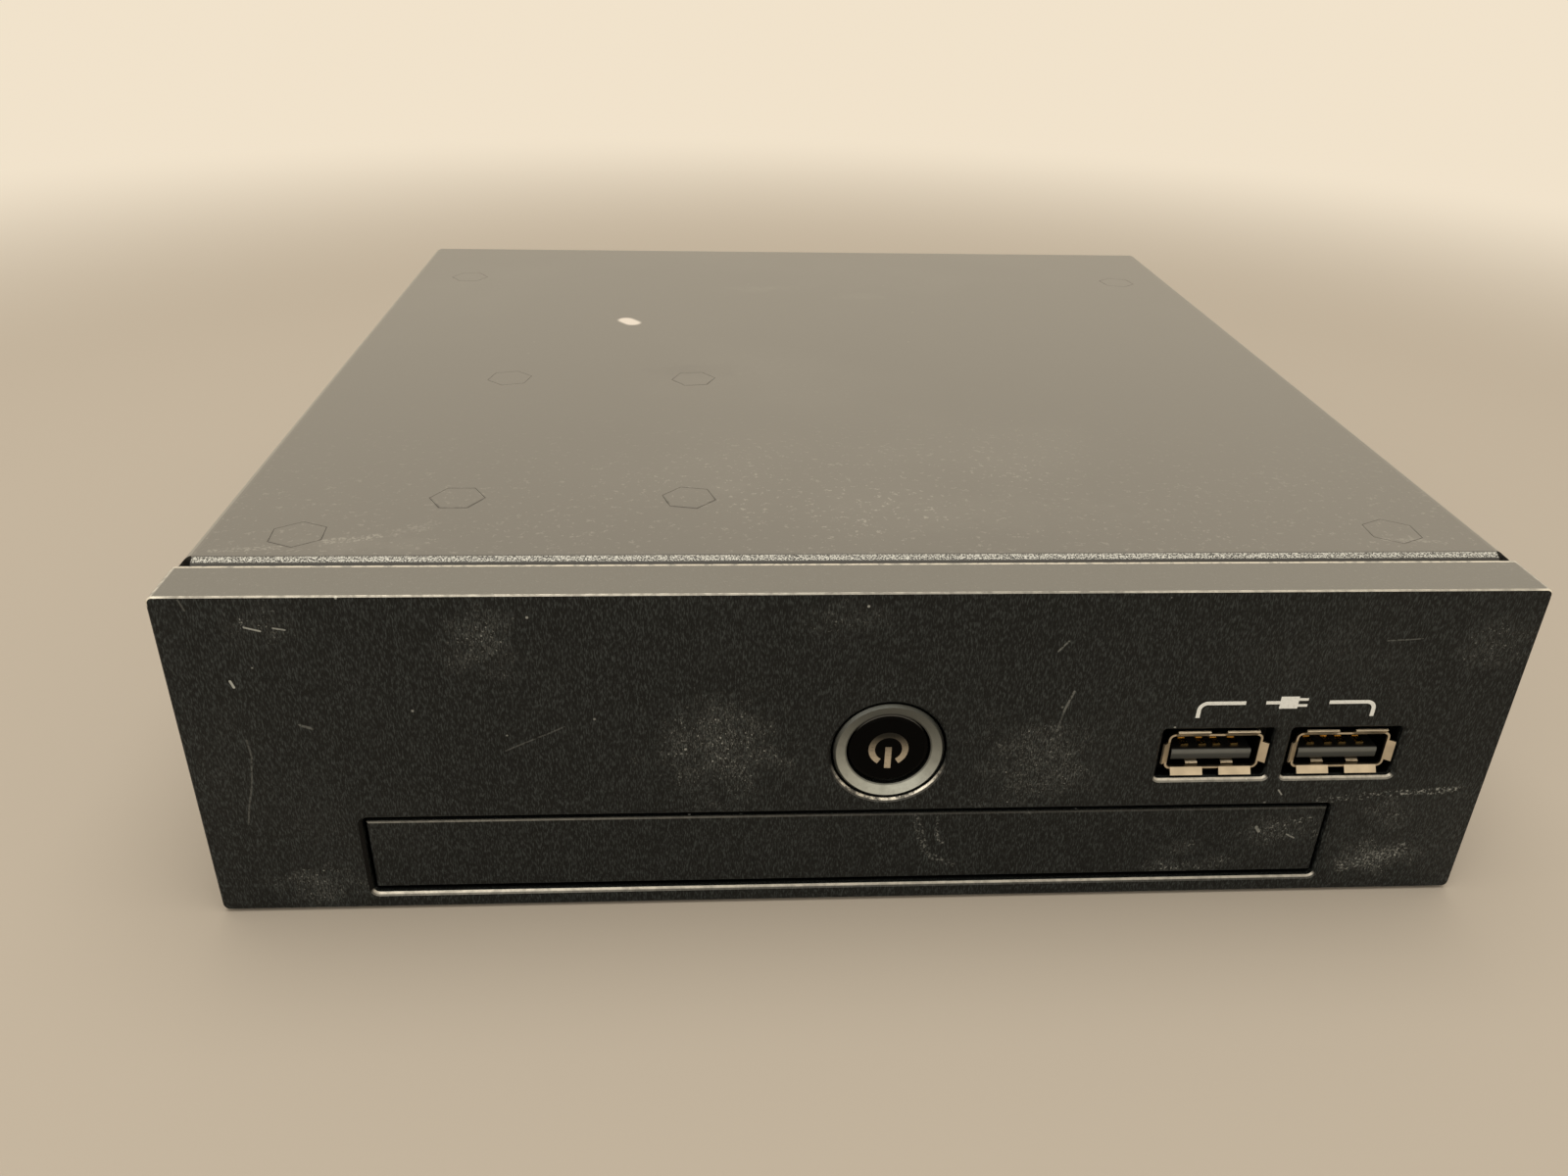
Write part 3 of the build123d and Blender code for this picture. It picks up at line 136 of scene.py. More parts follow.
class StageProperties(bpy.types.PropertyGroup):
    """Camera, lamps and backdrop."""

    camera_place: bpy.props.FloatVectorProperty(
        name="Camera", description="Place of the camera", subtype="TRANSLATION", unit="LENGTH",
        default=(-19.48 * MM, -221.97 * MM, 123.44 * MM))
    camera_yaw: turn("Yaw", "Camera's turn to the right", 3.66)
    camera_pitch: turn("Pitch", "Camera's tilt downwards", 28.49)
    camera_roll: turn("Roll", "Camera's roll", 1.44)
    lens: bpy.props.FloatProperty(
        name="Lens", description="Focal length on a 36 mm sensor", default=28.285, min=1.0,
        unit="CAMERA")
    floor_colour: colour("Floor", "Pale floor and backdrop", (0.56, 0.505, 0.435))
    backdrop_colour: colour(
        "Backdrop", "Warm white behind the player, as seen and mirrored", (0.88, 0.765, 0.60))
    lamp_power: bpy.props.FloatProperty(
        name="Lamp", description="Power of the main soft lamp", default=9.0, min=0.0, unit="POWER")


class Net:
    """Adds and joins shader nodes in one tree."""

    def __init__(self, tree):
        self.tree = tree

    def add(self, kind, **settings):
        node = self.tree.nodes.new(kind)
        for key, value in settings.items():
            setattr(node, key, value)
        return node

    def put(self, socket, value):
        if isinstance(value, bpy.types.NodeSocket):
            self.tree.links.new(value, socket)
        elif socket.type == "RGBA" and len(value) == 3:
            socket.default_value = (*value, 1.0)
        else:
            socket.default_value = value

    def put_all(self, sockets, values):
        for socket, value in zip(sockets, values):
            self.put(socket, value)

    def sum(self, operation, *values, clamp=False):
        node = self.add("ShaderNodeMath", operation=operation, use_clamp=clamp)
        self.put_all(node.inputs, values)
        return node.outputs[0]

    def fold(self, operation, values):
        found = values[0]
        for value in values[1:]:
            found = self.sum(operation, found, value)
        return found

    def times(self, *values):
        return self.fold("MULTIPLY", values)

    def plus(self, *values):
        return self.fold("ADD", values)

    def most(self, *values):
        return self.fold("MAXIMUM", values)

    def minus(self, first, second):
        return self.sum("SUBTRACT", first, second)

    def size(self, value):
        return self.sum("ABSOLUTE", value)

    def rise(self, start, value, slope):
        """Start plus slope times value."""
        return self.plus(start, self.times(value, slope))

    def vector(self, operation, *values):
        node = self.add("ShaderNodeVectorMath", operation=operation)
        self.put_all(node.inputs, values)
        return node.outputs["Value" if operation in ("LENGTH", "DOT_PRODUCT") else "Vector"]

    def scaled(self, vector, factor):
        node = self.add("ShaderNodeVectorMath", operation="SCALE")
        self.put_all((node.inputs[0], node.inputs["Scale"]), (vector, factor))
        return node.outputs[0]

    def read(self, kind, part, **inputs):
        """One output of a new node, from its inputs."""
        node = self.add(kind)
        for key, value in inputs.items():
            self.put(node.inputs[key], value)
        return node.outputs[part]

    def ramp(self, value, low, high, start=0.0, end=1.0):
        node = self.add("ShaderNodeMapRange", interpolation_type="SMOOTHSTEP")
        self.put_all(node.inputs, (value, low, high, start, end))
        return node.outputs["Result"]

    def beside(self, value, edge, first, last):
        """A ramp between two distances from an edge, in millimetres."""
        return self.ramp(value, edge + first * MM, edge + last * MM)

    def noise(self, scale, detail=2.0, roughness=0.5, vector=None, part="Fac"):
        vector = self.place() if vector is None else vector
        return self.read(
            "ShaderNodeTexNoise", part, Vector=vector, Scale=scale, Detail=detail, Roughness=roughness)

    def sway(self, scale, detail, roughness):
        """A noise that pushes a point to any side."""
        return self.vector("SUBTRACT", self.noise(scale, detail, roughness, part="Color"), (0.5, 0.5, 0.5))

    def cells(self, vector, scale, part="Distance"):
        return self.read("ShaderNodeTexVoronoi", part, Vector=vector, Scale=scale)

    def mix(self, factor, first, second):
        node = self.add("ShaderNodeMix", data_type="RGBA")
        self.put_all((node.inputs[0], node.inputs[6], node.inputs[7]), (factor, first, second))
        return node.outputs[2]

    def tones(self, factor, colour, dark, light):
        """A colour between its darker and its lighter tint."""
        return self.mix(factor, tint(colour, dark), tint(colour, light))

    def layers(self, base, *layers):
        """Colours laid over a base in turn, each where the product of its shares says."""
        for colour, *shares in layers:
            base = self.mix(self.times(*shares), base, colour)
        return base

    def parts(self, vector):
        node = self.add("ShaderNodeSeparateXYZ")
        self.put(node.inputs[0], vector)
        return tuple(node.outputs)

    def place(self):
        return self.add("ShaderNodeTexCoord").outputs["Object"]

    def where(self):
        return self.parts(self.place())

    def normal(self):
        return self.parts(self.add("ShaderNodeTexCoord").outputs["Normal"])

    def away(self, centre):
        return self.vector("SUBTRACT", self.place(), centre)

    def bump(self, height, distance, strength=1.0):
        return self.read("ShaderNodeBump", "Normal", Height=height, Distance=distance, Strength=strength)

    def group(self, name, **values):
        node = self.add("ShaderNodeGroup", node_tree=bpy.data.node_groups[name])
        for key, value in values.items():
            self.put(node.inputs[key.capitalize()], value)
        return node.outputs


def tint(colour, factor=1.0):
    """A colour made lighter or darker by a factor."""
    return tuple(min(1.0, part * factor) for part in colour)


def middle_of(low, high):
    """The middle of a box, across and upwards."""
    return (low.x + high.x) / 2, (low.z + high.z) / 2


def start_group(name, inputs, outputs):
    """A shader node group with its sockets, and the net that fills it."""
    tree = bpy.data.node_groups.new(name, "ShaderNodeTree")
    for label, default in inputs.items():
        kind = "Vector" if isinstance(default, tuple) else "Float"
        socket = tree.interface.new_socket(name=label, in_out="INPUT", socket_type=f"NodeSocket{kind}")
        socket.default_value = default
    for label in outputs:
        tree.interface.new_socket(name=label, in_out="OUTPUT", socket_type="NodeSocketFloat")
    net = Net(tree)
    return net, net.add("NodeGroupInput").outputs, net.add("NodeGroupOutput").inputs


def make_grain_groups():
    """Brushed metal and powder coat."""
    net, given, out = start_group(
        "Brushed grain", {"Stretch": (5000.0, 5000.0, 1000.0)}, ["Streak", "Fleck"])
    stretched = net.vector("MULTIPLY", net.place(), given["Stretch"])
    net.put(out["Streak"], net.noise(1.0, 3.0, 0.6, stretched))
    net.put(out["Fleck"], net.ramp(net.noise(1.0, 2.0, 0.6, net.scaled(stretched, 1.4)), 0.50, 0.66))

    net, given, out = start_group("Powder grain", {"Scale": 3200.0}, ["Height", "Speck"])
    net.put(out["Height"], net.noise(given["Scale"], 3.0, 0.6))
    net.put(out["Speck"], net.ramp(net.noise(net.times(given["Scale"], 0.9), 1.0), 0.66, 0.80))


def make_wear_groups():
    """Masks for worn edges and for edges with painted light or shade, and settled dust."""
    net, given, out = start_group("Edge wear and light", {"Breakup": 900.0}, ["Slant", "Upward", "Broken"])
    x, y, z = net.normal()
    across = net.sum("SQRT", net.plus(net.times(x, x), net.times(z, z)))
    slant = net.ramp(net.times(net.size(y), across), 0.22, 0.44)
    net.put(out["Slant"], slant)
    net.put(out["Upward"], net.times(slant, net.ramp(z, 0.15, 0.5)))
    net.put(out["Broken"], net.ramp(net.noise(given["Breakup"], 4.0, 0.65), 0.36, 0.60))

    net, given, out = start_group(
        "Dust film", {"Scale": 40.0, "Cover": 0.5, "Offset": (0.0, 0.0, 0.0)}, ["Film", "Dots"])
    spot = net.vector("ADD", net.place(), given["Offset"])
    edge = net.minus(1.0, given["Cover"])
    patch = net.noise(given["Scale"], 3.0, 0.55, spot)
    net.put(out["Film"], net.ramp(patch, edge, net.plus(edge, 0.3)))
    per_metre = 260.0
    dot = net.ramp(net.cells(spot, per_metre), 0.062, 0.03)
    chosen = net.ramp(net.parts(net.cells(spot, per_metre, "Color"))[0], 0.74, 1.0)
    net.put(out["Dots"], net.times(dot, chosen))


def make_mark_groups():
    """Single marks: a soft patch, a scratch and the seam round a flush head, with painted shadow on the
    seam's front side.
    """
    origin = (0.0, 0.0, 0.0)
    net, given, out = start_group(
        "Soft patch", {"Centre": origin, "Reach": (0.005, 0.005, 0.005), "Strength": 0.5}, ["Mask"])
    away = net.vector("DIVIDE", net.away(given["Centre"]), given["Reach"])
    away = net.vector("ADD", away, net.scaled(net.sway(260.0, 4.0, 0.65), 2.6))
    near = net.ramp(net.vector("LENGTH", away), 1.15, 0.0)
    net.put(out["Mask"], net.times(near, given["Strength"]))

    net, given, out = start_group(
        "Scratch line",
        {"Start": origin, "Finish": (0.01, 0.0, 0.0), "Plane": (1.0, 0.0, 1.0), "Width": 0.0002,
         "Waver": 0.002, "Strength": 1.0, "Broken": 0.3},
        ["Mask"])
    sway = net.scaled(net.sway(150.0, 1.0, 0.4), given["Waver"])
    spot = net.vector("MULTIPLY", net.vector("ADD", net.away(given["Start"]), sway), given["Plane"])
    run = net.vector("MULTIPLY", net.vector("SUBTRACT", given["Finish"], given["Start"]), given["Plane"])
    along = net.vector("DOT_PRODUCT", spot, run)
    share = net.sum("DIVIDE", along, net.vector("DOT_PRODUCT", run, run), clamp=True)
    gap = net.vector("LENGTH", net.vector("SUBTRACT", spot, net.scaled(run, share)))
    line = net.ramp(gap, given["Width"], net.times(given["Width"], 0.55))
    broken = net.ramp(net.noise(2300.0, 3.0, 0.65), given["Broken"], net.plus(given["Broken"], 0.16))
    net.put(out["Mask"], net.times(line, broken, given["Strength"]))

    net, given, out = start_group(
        "Head seam and shadow", {"Centre": origin, "Turn": 0.0, "Strength": 1.0}, ["Mask"])
    away = net.away(given["Centre"])
    turned = net.add("ShaderNodeVectorRotate", rotation_type="Z_AXIS", invert=True)
    net.put(turned.inputs["Vector"], away)
    net.put(turned.inputs["Angle"], given["Turn"])
    ways = [(cos(radians(side)), sin(radians(side)), 0.0) for side in (30.0, 90.0, 150.0)]
    reach = net.most(*[net.size(net.vector("DOT_PRODUCT", turned.outputs[0], way)) for way in ways])
    line = net.ramp(net.size(net.minus(reach, HEAD_APOTHEM)), 0.30 * MM, 0.12 * MM)
    # painted shadow: the seam is darker on its front side
    shadowed_front = net.ramp(net.parts(away)[1], 1.0 * MM, -1.6 * MM, 0.12, 1.0)
    broken = net.ramp(net.noise(520.0, 2.0), 0.36, 0.50)
    net.put(out["Mask"], net.times(line, shadowed_front, broken, given["Strength"]))


class Finish(Net):
    """The net of one material, with its shader."""

    def __init__(self, name, roughness=0.5, metallic=0.0, ior=1.5):
        self.material = bpy.data.materials.new(name)
        self.material.use_nodes = True
        super().__init__(self.material.node_tree)
        self.shader = self.tree.nodes["Principled BSDF"]
        self.shader.inputs["IOR"].default_value = ior
        self.dress(roughness=roughness, metallic=metallic)

    def dress(self, **values):
        """Join values to the shader's sockets, named in lower case, and give the material."""
        for key, value in values.items():
            self.put(self.shader.inputs[key.replace("_", " ").title()], value)
        return self.material


def joined(net, group, marks):
    """The strongest of several marks of one kind."""
    return net.most(*[net.group(group, **mark)["Mask"] for mark in marks])


def on_front(x, z, y=FRONT / MM):
    """A place or reach on the front plate, from millimetres."""
    return x * MM, y * MM, z * MM


def on_top(x, y, z=PAN_HIGH.z / MM):
    """A place or reach on the top, from millimetres."""
    return x * MM, y * MM, z * MM


def lines(net, place, plane, rows):
    """Scratches: both ends, half width, waver, strength and breakup."""
    return joined(net, "Scratch line", [
        {"start": place(*start), "finish": place(*end), "plane": plane, "width": width * MM,
         "waver": waver * MM, "strength": strength, "broken": broken}
        for start, end, width, waver, strength, broken in rows])


def spots(net, place, deep, rows):
    """Hazy patches: middle, half width, half height and strength."""
    return joined(net, "Soft patch", [
        {"centre": place(x, far), "reach": place(wide, high, deep), "strength": strength}
        for x, far, wide, high, strength in rows])


def face_patches(net):
    """Where dust and skin have dulled the front."""
    deep = 4.0
    return spots(net, on_front, deep, (
        (-74.5, 46.5, 5.0, 3.6, 0.35), (-48.5, 43.5, 6.0, 6.0, 0.62), (-19.0, 26.5, 10.0, 9.0, 0.75),
        (23.5, 24.0, 9.0, 8.5, 0.58), (-74.0, 4.5, 7.0, 4.0, 0.60), (83.0, 42.5, 6.0, 5.0, 0.42),
        (60.5, 11.0, 8.0, 3.0, 0.40), (47.0, 4.9, 8.0, 1.6, 0.60), (52.4, 5.4, 2.6, 1.8, 0.45),
        (46.3, 8.2, 3.5, 2.2, 0.30), (75.5, 6.3, 6.5, 3.6, 0.85), (74.0, 15.3, 3.0, 2.2, 0.45),
        (76.4, 13.5, 3.0, 2.2, 0.40), (28.1, 24.8, 1.6, 1.6, 0.60), (-3.0, 46.5, 7.0, 3.0, 0.30)))


def face_scratches(net):
    """Scratches and scuffs on the front."""
    return lines(net, on_front, (1.0, 0.0, 1.0), (
        ((-77.1, 47.0), (-77.2, 45.6), 0.35, 0.8, 0.70, RUBBED),
        ((-77.0, 45.9), (-75.1, 45.4), 0.15, 0.4, 0.80, WHOLE),
        ((-73.5, 45.8), (-72.1, 45.5), 0.14, 0.4, 0.60, WHOLE),
        ((-80.1, 38.1), (-79.8, 37.2), 0.21, 0.0, 1.0, WHOLE),
        ((-84.1, 49.8), (-83.6, 48.3), 0.15, 0.0, 0.16, FAINT),
        ((-72.8, 31.4), (-71.2, 30.9), 0.22, 0.8, 0.22, FAINT),
        ((-79.7, 29.1), (-79.5, 26.4), 0.15, 0.6, 0.15, FAINT),
        ((-79.5, 26.4), (-82.0, 15.5), 0.15, 0.6, 0.15, FAINT),
        ((-46.9, 26.9), (-39.1, 30.7), 0.13, 0.6, 0.14, FAINT),
        ((24.6, 41.5), (25.8, 43.0), 0.15, 0.0, 0.32, FAINT),
        ((27.5, 35.3), (26.5, 32.3), 0.20, 0.6, 0.30, FAINT),
        ((26.5, 32.3), (26.0, 29.0), 0.14, 0.6, 0.15, FAINT),
        ((68.0, 42.7), (72.5, 43.1), 0.12, 0.6, 0.20, FAINT),
        ((58.6, 18.6), (59.2, 17.8), 0.13, 0.0, 0.65, WHOLE),
        ((8.4, 14.5), (9.1, 11.0), 0.70, 1.0, 0.32, RUBBED),
        ((9.1, 11.0), (10.5, 7.6), 0.70, 1.0, 0.32, RUBBED),
        ((10.5, 7.6), (14.1, 5.9), 0.60, 1.0, 0.36, RUBBED),
        ((11.2, 14.4), (11.3, 11.3), 0.34, 0.6, 0.36, RUBBED),
        ((11.3, 11.3), (12.1, 9.8), 0.45, 0.6, 0.42, RUBBED),
        ((65.2, 16.7), (84.5, 18.5), 0.75, 1.4, 0.55, 0.54),
        ((76.5, 17.8), (84.5, 18.5), 0.60, 0.8, 0.70, RUBBED),
        ((57.3, 11.4), (64.9, 13.1), 0.55, 1.4, 0.60, 0.53),
        ((57.1, 11.7), (57.6, 10.9), 0.28, 0.0, 0.50, FAINT),
        ((61.8, 10.3), (63.0, 9.6), 0.16, 0.0, 0.50, FAINT),
        ((70.9, 4.9), (79.8, 7.8), 1.30, 1.8, 0.55, RUBBED)))


def worn_and_highlit_edges(net, edge, rim, level):
    """How far the plate's edges are rubbed down to bare metal, together with painted highlights on the slants
    that face upward.
    """
    x, y, z = net.where()
    upright = net.normal()[2]
    # painted highlights: the top edge, the slot's lower lip and the lower lips of the openings face up and
    # are painted bright, more strongly towards the left
    inner = net.beside(y, FRONT, 0.14, 0.26)
    lip = net.beside(z, PANEL_LOW.z, 2.0, 1.0)
    above_slot = net.beside(z, PANEL_HIGH.z, 0.6, 1.6)
    at_ports = net.ramp(x, 30.0 * MM, 36.0 * MM)
    left = net.ramp(x, 15.0 * MM, -60.0 * MM)
    at_button = net.times(net.minus(1.0, at_ports), inner, net.rise(0.10, edge["Broken"], 0.75))
    openings = net.plus(at_button, net.times(at_ports, net.rise(0.22, inner, 0.42)))
    kept = net.plus(net.times(rim, 0.34), net.times(openings, above_slot), net.times(lip, inner, 0.50))
    kept = net.sum("ADD", kept, net.rise(0.06, left, 0.20), clamp=True)
    # only slants that face upward are made bright: painted highlight together with real rubbed edges
    rubbed_and_highlit = net.times(edge["Upward"], kept, net.rise(0.72, edge["Broken"], 0.28))

    side = net.size(x)
    corner = net.beside(side, PLATE_HIGH.x, -5.0, -0.5)
    chipped = net.times(edge["Slant"], corner, rim)
    ridge = net.beside(side, PLATE_HIGH.x, -0.95, -0.70)
    ridge = net.times(ridge, rim, net.ramp(upright, 0.3, 0.5), net.rise(0.30, edge["Broken"], 0.40))
    behind = net.times(net.beside(y, PLATE_BACK, -0.50, -0.36), level)
    behind = net.sum("MULTIPLY", behind, net.plus(0.3, edge["Broken"]), clamp=True)
    return net.most(rubbed_and_highlit, chipped, ridge, behind)


def shaded_openings(net, edge, rim):
    """Painted shade on the walls of the plate's openings and on their slants that face right, without its
    outer sides.
    """
    x, y, z = net.where()
    shaded_depth = net.beside(y, FRONT, 0.95, 1.3)
    # painted shade on slants that face right
    turned = net.times(edge["Slant"], net.ramp(net.normal()[0], 0.3, 0.6))
    shaded_depth = net.most(shaded_depth, net.times(turned, net.ramp(x, 0.0, -10.0 * MM)))
    outside = net.most(
        net.beside(net.size(x), PLATE_HIGH.x, -1.6, -1.0),
        net.beside(z, PLATE_LOW.z, 1.2, 0.8), rim)
    return net.minus(shaded_depth, net.times(shaded_depth, outside))


def make_plate_finish():
    """Vertically brushed black anodise with rubbed edges, dust and skin marks, painted highlights on
    upward-facing slants, painted shade inside the openings, and a top facet lightened by dust and painted
    reflection.
    """
    look = bpy.context.scene.player_finish
    net = Finish("Brushed black anodise", ior=1.28)
    grain = net.group("Brushed grain", stretch=(6000.0, 3000.0, 1400.0))
    film = net.group("Dust film", scale=30.0, cover=0.50, offset=(0.4, 0.0, 0.2))
    edge = net.group("Edge wear and light", breakup=900.0)
    grit = net.ramp(net.noise(2400.0, 2.0, 0.7), 0.61, 0.70)
    rim = net.beside(net.where()[2], PLATE_HIGH.z, -1.6, -1.0)
    level = net.times(net.ramp(net.normal()[2], 0.75, 0.97), rim)
    # real rubbed metal together with painted highlights on upward-facing slants
    bare_and_highlit = net.sum("MULTIPLY", worn_and_highlit_edges(net, edge, rim, level), look.wear_and_highlights, clamp=True)

    patches = face_patches(net)
    marks = net.most(face_scratches(net), film["Dots"])
    dulled = net.sum("ADD", net.times(film["Film"], 0.22), patches, clamp=True)
    dulled = net.times(dulled, net.rise(0.06, grain["Fleck"], 0.94))
    base = net.layers(
        net.tones(net.ramp(grain["Streak"], 0.44, 0.72), look.plate_colour, 0.55, 4.9),
        (tint(look.smudge_colour), dulled, 0.46 * look.wear_and_highlights),
        (tint(look.smudge_colour, 1.9), patches, grit, 0.95 * look.wear_and_highlights),
        # dust on the top facet, together with painted reflection of the bright surroundings
        (tint(look.dust_and_sheen_colour, 0.88), level, net.rise(0.53, grit, 0.16)),
        (tint(look.smudge_colour, 2.2), marks, 0.60 * look.wear_and_highlights),
        # painted shade: the walls of the openings made black
        (BLACK, shaded_openings(net, edge, rim), 0.94),
        (tint(look.bare_and_highlight_colour), bare_and_highlit))
    rough = net.rise(0.36, grain["Streak"], 0.22)
    return net.dress(
        base_color=base, metallic=bare_and_highlit, roughness=net.rise(rough, bare_and_highlit, -0.12),
        coat_weight=level, coat_roughness=0.38, normal=net.bump(grain["Streak"], 0.025 * MM))


def coat_marks(net):
    """The chip, head seams with painted shadow on their front sides, smears, pale spots and dark spot on the
    top, in that order.
    """
    flat = (1.0, 1.0, 0.0)
    deep = 2.0
    chip = lines(net, on_top, flat, [((-37.4, 27.2), (-35.9, 25.3), 2.0, 0.8, 1.0, WHOLE)])
    seams_and_shadows = joined(net, "Head seam and shadow", [
        {"centre": on_top(x, y), "turn": radians(degrees), "strength": strength}
        for x, y, degrees, strength in (
            (-74.5, -72.45, 34.5, 0.40), (74.5, -72.45, 27.0, 0.22), (-55.7, -60.85, 0.0, 0.85),
            (-23.1, -60.85, 48.0, 0.85), (-23.1, -9.25, 8.0, 0.45))])
    smears = lines(net, on_top, flat, (
        ((-84.0, -77.2), (-76.0, -76.6), 0.7, 1.5, 0.55, SMEARED),
        ((-70.5, -74.9), (-64.3, -73.2), 1.1, 1.5, 0.60, SMEARED),
        ((-62.0, -72.0), (-57.5, -69.5), 1.3, 1.5, 0.30, SMEARED),
        ((-38.5, -73.4), (-35.8, -71.8), 0.5, 1.5, 0.40, SMEARED),
        ((72.0, -75.0), (80.0, -76.0), 0.6, 1.5, 0.40, SMEARED)))
    pale = spots(net, on_top, deep, (
        (-9.0, 52.0, 9.0, 3.0, 0.5), (13.0, 46.5, 6.5, 3.0, 0.4), (-66.0, -75.5, 11.0, 3.0, 0.5),
        (-17.5, -57.0, 5.0, 3.0, 0.35), (20.0, -66.0, 26.0, 10.0, 0.30), (76.0, -75.0, 3.0, 1.2, 0.5)))
    return chip, seams_and_shadows, smears, pale, spots(net, on_top, deep, [(-23.5, -4.5, 9.0, 5.0, 0.6)])


def make_coat_finish():
    """Fine-textured black powder coat with a top lightened by dust and painted sheen, painted glints and
    painted shade along the front fold, and painted highlights on the side folds.
    """
    look = bpy.context.scene.player_finish
    net = Finish("Black powder coat")
    grain = net.group("Powder grain", scale=3000.0)
    film = net.group("Dust film", scale=16.0, cover=0.52, offset=(0.1, 0.7, 0.0))
    chip, seams_and_shadows, smears, pale, dark = coat_marks(net)
    near = net.ramp(net.where()[1], -20.0 * MM, -74.0 * MM, 0.10, 1.0)
    fleck = net.ramp(net.noise(1100.0, 3.0, 0.7), 0.59, 0.68)
    fleck = net.times(fleck, near, net.ramp(film["Film"], 0.0, 1.0, 0.35, 1.0))

    x, y, z = net.normal()
    level = net.ramp(z, 0.965, 0.995)
    front = net.times(y, -1.0)
    # painted highlight: glints along the front fold where it catches the light
    fold = net.times(net.ramp(front, 0.15, 0.24), net.ramp(front, 0.66, 0.58), net.ramp(z, 0.2, 0.3))
    glint = net.ramp(net.noise(5200.0, 2.0, 0.7), 0.42, 0.60)
    shade = net.times(net.ramp(front, 0.05, 0.14), net.ramp(z, 0.05, 0.15))
    # painted highlight on the side folds
    lit_side_folds = net.times(net.ramp(net.size(x), 0.12, 0.35), net.ramp(z, 0.25, 0.45))
    coat, dust_and_sheen = look.coat_colour, look.dust_and_sheen_colour
    base = net.layers(
        net.tones(net.ramp(grain["Height"], 0.3, 0.7), coat, 0.8, 1.2),
        (tint(coat, 2.2), grain["Speck"], 0.20),
        # dust on the top, together with painted sheen that lightens it
        (tint(dust_and_sheen, 0.76), net.rise(0.35, film["Film"], 0.08), level),
        (tint(dust_and_sheen), pale, 0.22),
        (tint(dust_and_sheen, 1.5), fleck, level, 0.62),
        (tint(coat, 0.5), dark, 0.30),
        (tint(dust_and_sheen, 1.3), smears, level, 0.75),
        (tint(dust_and_sheen, 1.6), film["Dots"], 0.40),
        (tint(coat, 0.12), shade, 0.70),
        (tint(dust_and_sheen), lit_side_folds, 0.75),
        # dark seam round each flush head, with painted shadow on its front side
        (GAP_BLACK, seams_and_shadows, level, 0.92),
        (tint(look.glint_colour), fold, glint, 0.90),
        ((0.86, 0.79, 0.72), chip, level))
    return net.dress(
        base_color=base, roughness=net.rise(0.40, grain["Height"], 0.14),
        coat_weight=net.rise(0.25, level, 0.75), coat_roughness=0.42,
        sheen_weight=0.12, sheen_roughness=0.45, sheen_tint=tint((1.0, 0.95, 0.86)),
        normal=net.bump(grain["Height"], 0.03 * MM, 0.7))


def round_reach(net, away):
    """Distance from the button's axis."""
    return net.vector("LENGTH", net.vector("MULTIPLY", away, (1.0, 0.0, 1.0)))


def make_ring_finish():
    """Satin metal with the fine rings of a lathe tool, with painted shade at its top, painted light at its
    foot and left side, and painted shade at its outer edge and bore.
    """
    colour = bpy.context.scene.player_finish.ring_colour
    net = Finish("Turned satin metal", metallic=1.0)
    away = net.away(tuple(CAP_CENTRE))
    reach = round_reach(net, away)
    wave = net.add("ShaderNodeTexNoise", noise_dimensions="1D")
    net.put(wave.inputs["W"], net.times(reach, 9000.0))
    wave.inputs["Detail"].default_value = 2.0
    rings = wave.outputs["Fac"]
    x, _, z = net.parts(away)
    # painted shade at the outer edge and at the bore next to the cap
    outer = net.beside(reach, RING_RADIUS, -0.42, -0.30)
    shaded_bore = net.beside(reach, CAP_RADIUS, 0.45, 0.34)
    # painted light and shade: darker at the top, paler at the foot and towards the left
    base = net.layers(
        net.tones(net.ramp(net.rise(z, x, 0.15), 6.4 * MM, -6.9 * MM), colour, 0.62, 1.85),
        (tint(colour, 0.6), net.ramp(net.noise(900.0, 3.0, 0.6), 0.35, 0.75, 0.0, 0.25)),
        (tint(colour, 0.18), net.most(outer, shaded_bore), 0.62))
    return net.dress(
        base_color=base, roughness=net.rise(0.30, rings, 0.16), normal=net.bump(rings, 0.006 * MM))


def make_gloss_finish():
    """Polished black cap with a trace of dust and a painted highlight along its upper edge."""
    net = Finish("Polished black", ior=1.12)
    film = net.group("Dust film", scale=260.0, cover=0.42, offset=(0.2, 0.2, 0.9))["Film"]
    away = net.away(tuple(CAP_CENTRE))
    reach = round_reach(net, away)
    # painted highlight along the cap's upper edge
    highlight_crescent = net.times(
        net.beside(reach, CAP_RADIUS, -0.26, -0.18),
        net.beside(reach, CAP_RADIUS, -0.04, -0.10),
        net.ramp(net.parts(away)[2], 2.6 * MM, 4.9 * MM))
    base = net.layers(
        (0.001, 0.001, 0.001),
        ((0.2, 0.19, 0.17), film, 0.02), ((0.20, 0.20, 0.19), highlight_crescent, 0.8))
    return net.dress(base_color=base, roughness=net.rise(0.07, film, 0.22))


def make_sign_finish():
    """Metal sign with painted light: bright towards its foot, with painted shade towards its top."""
    net = Finish("Silver sign", metallic=1.0)
    rub = net.noise(2400.0, 4.0, 0.7)
    # painted light: bright at the foot, painted shade at the top
    low = net.ramp(net.parts(net.away(tuple(CAP_CENTRE)))[2], 2.4 * MM, -2.2 * MM)
    base = net.layers(
        (0.030, 0.030, 0.027),
        ((0.62, 0.56, 0.46), low), ((0.02, 0.02, 0.02), net.ramp(rub, 0.34, 0.52, 0.28, 0.0)))
    return net.dress(base_color=base, roughness=net.rise(0.22, rub, 0.15))


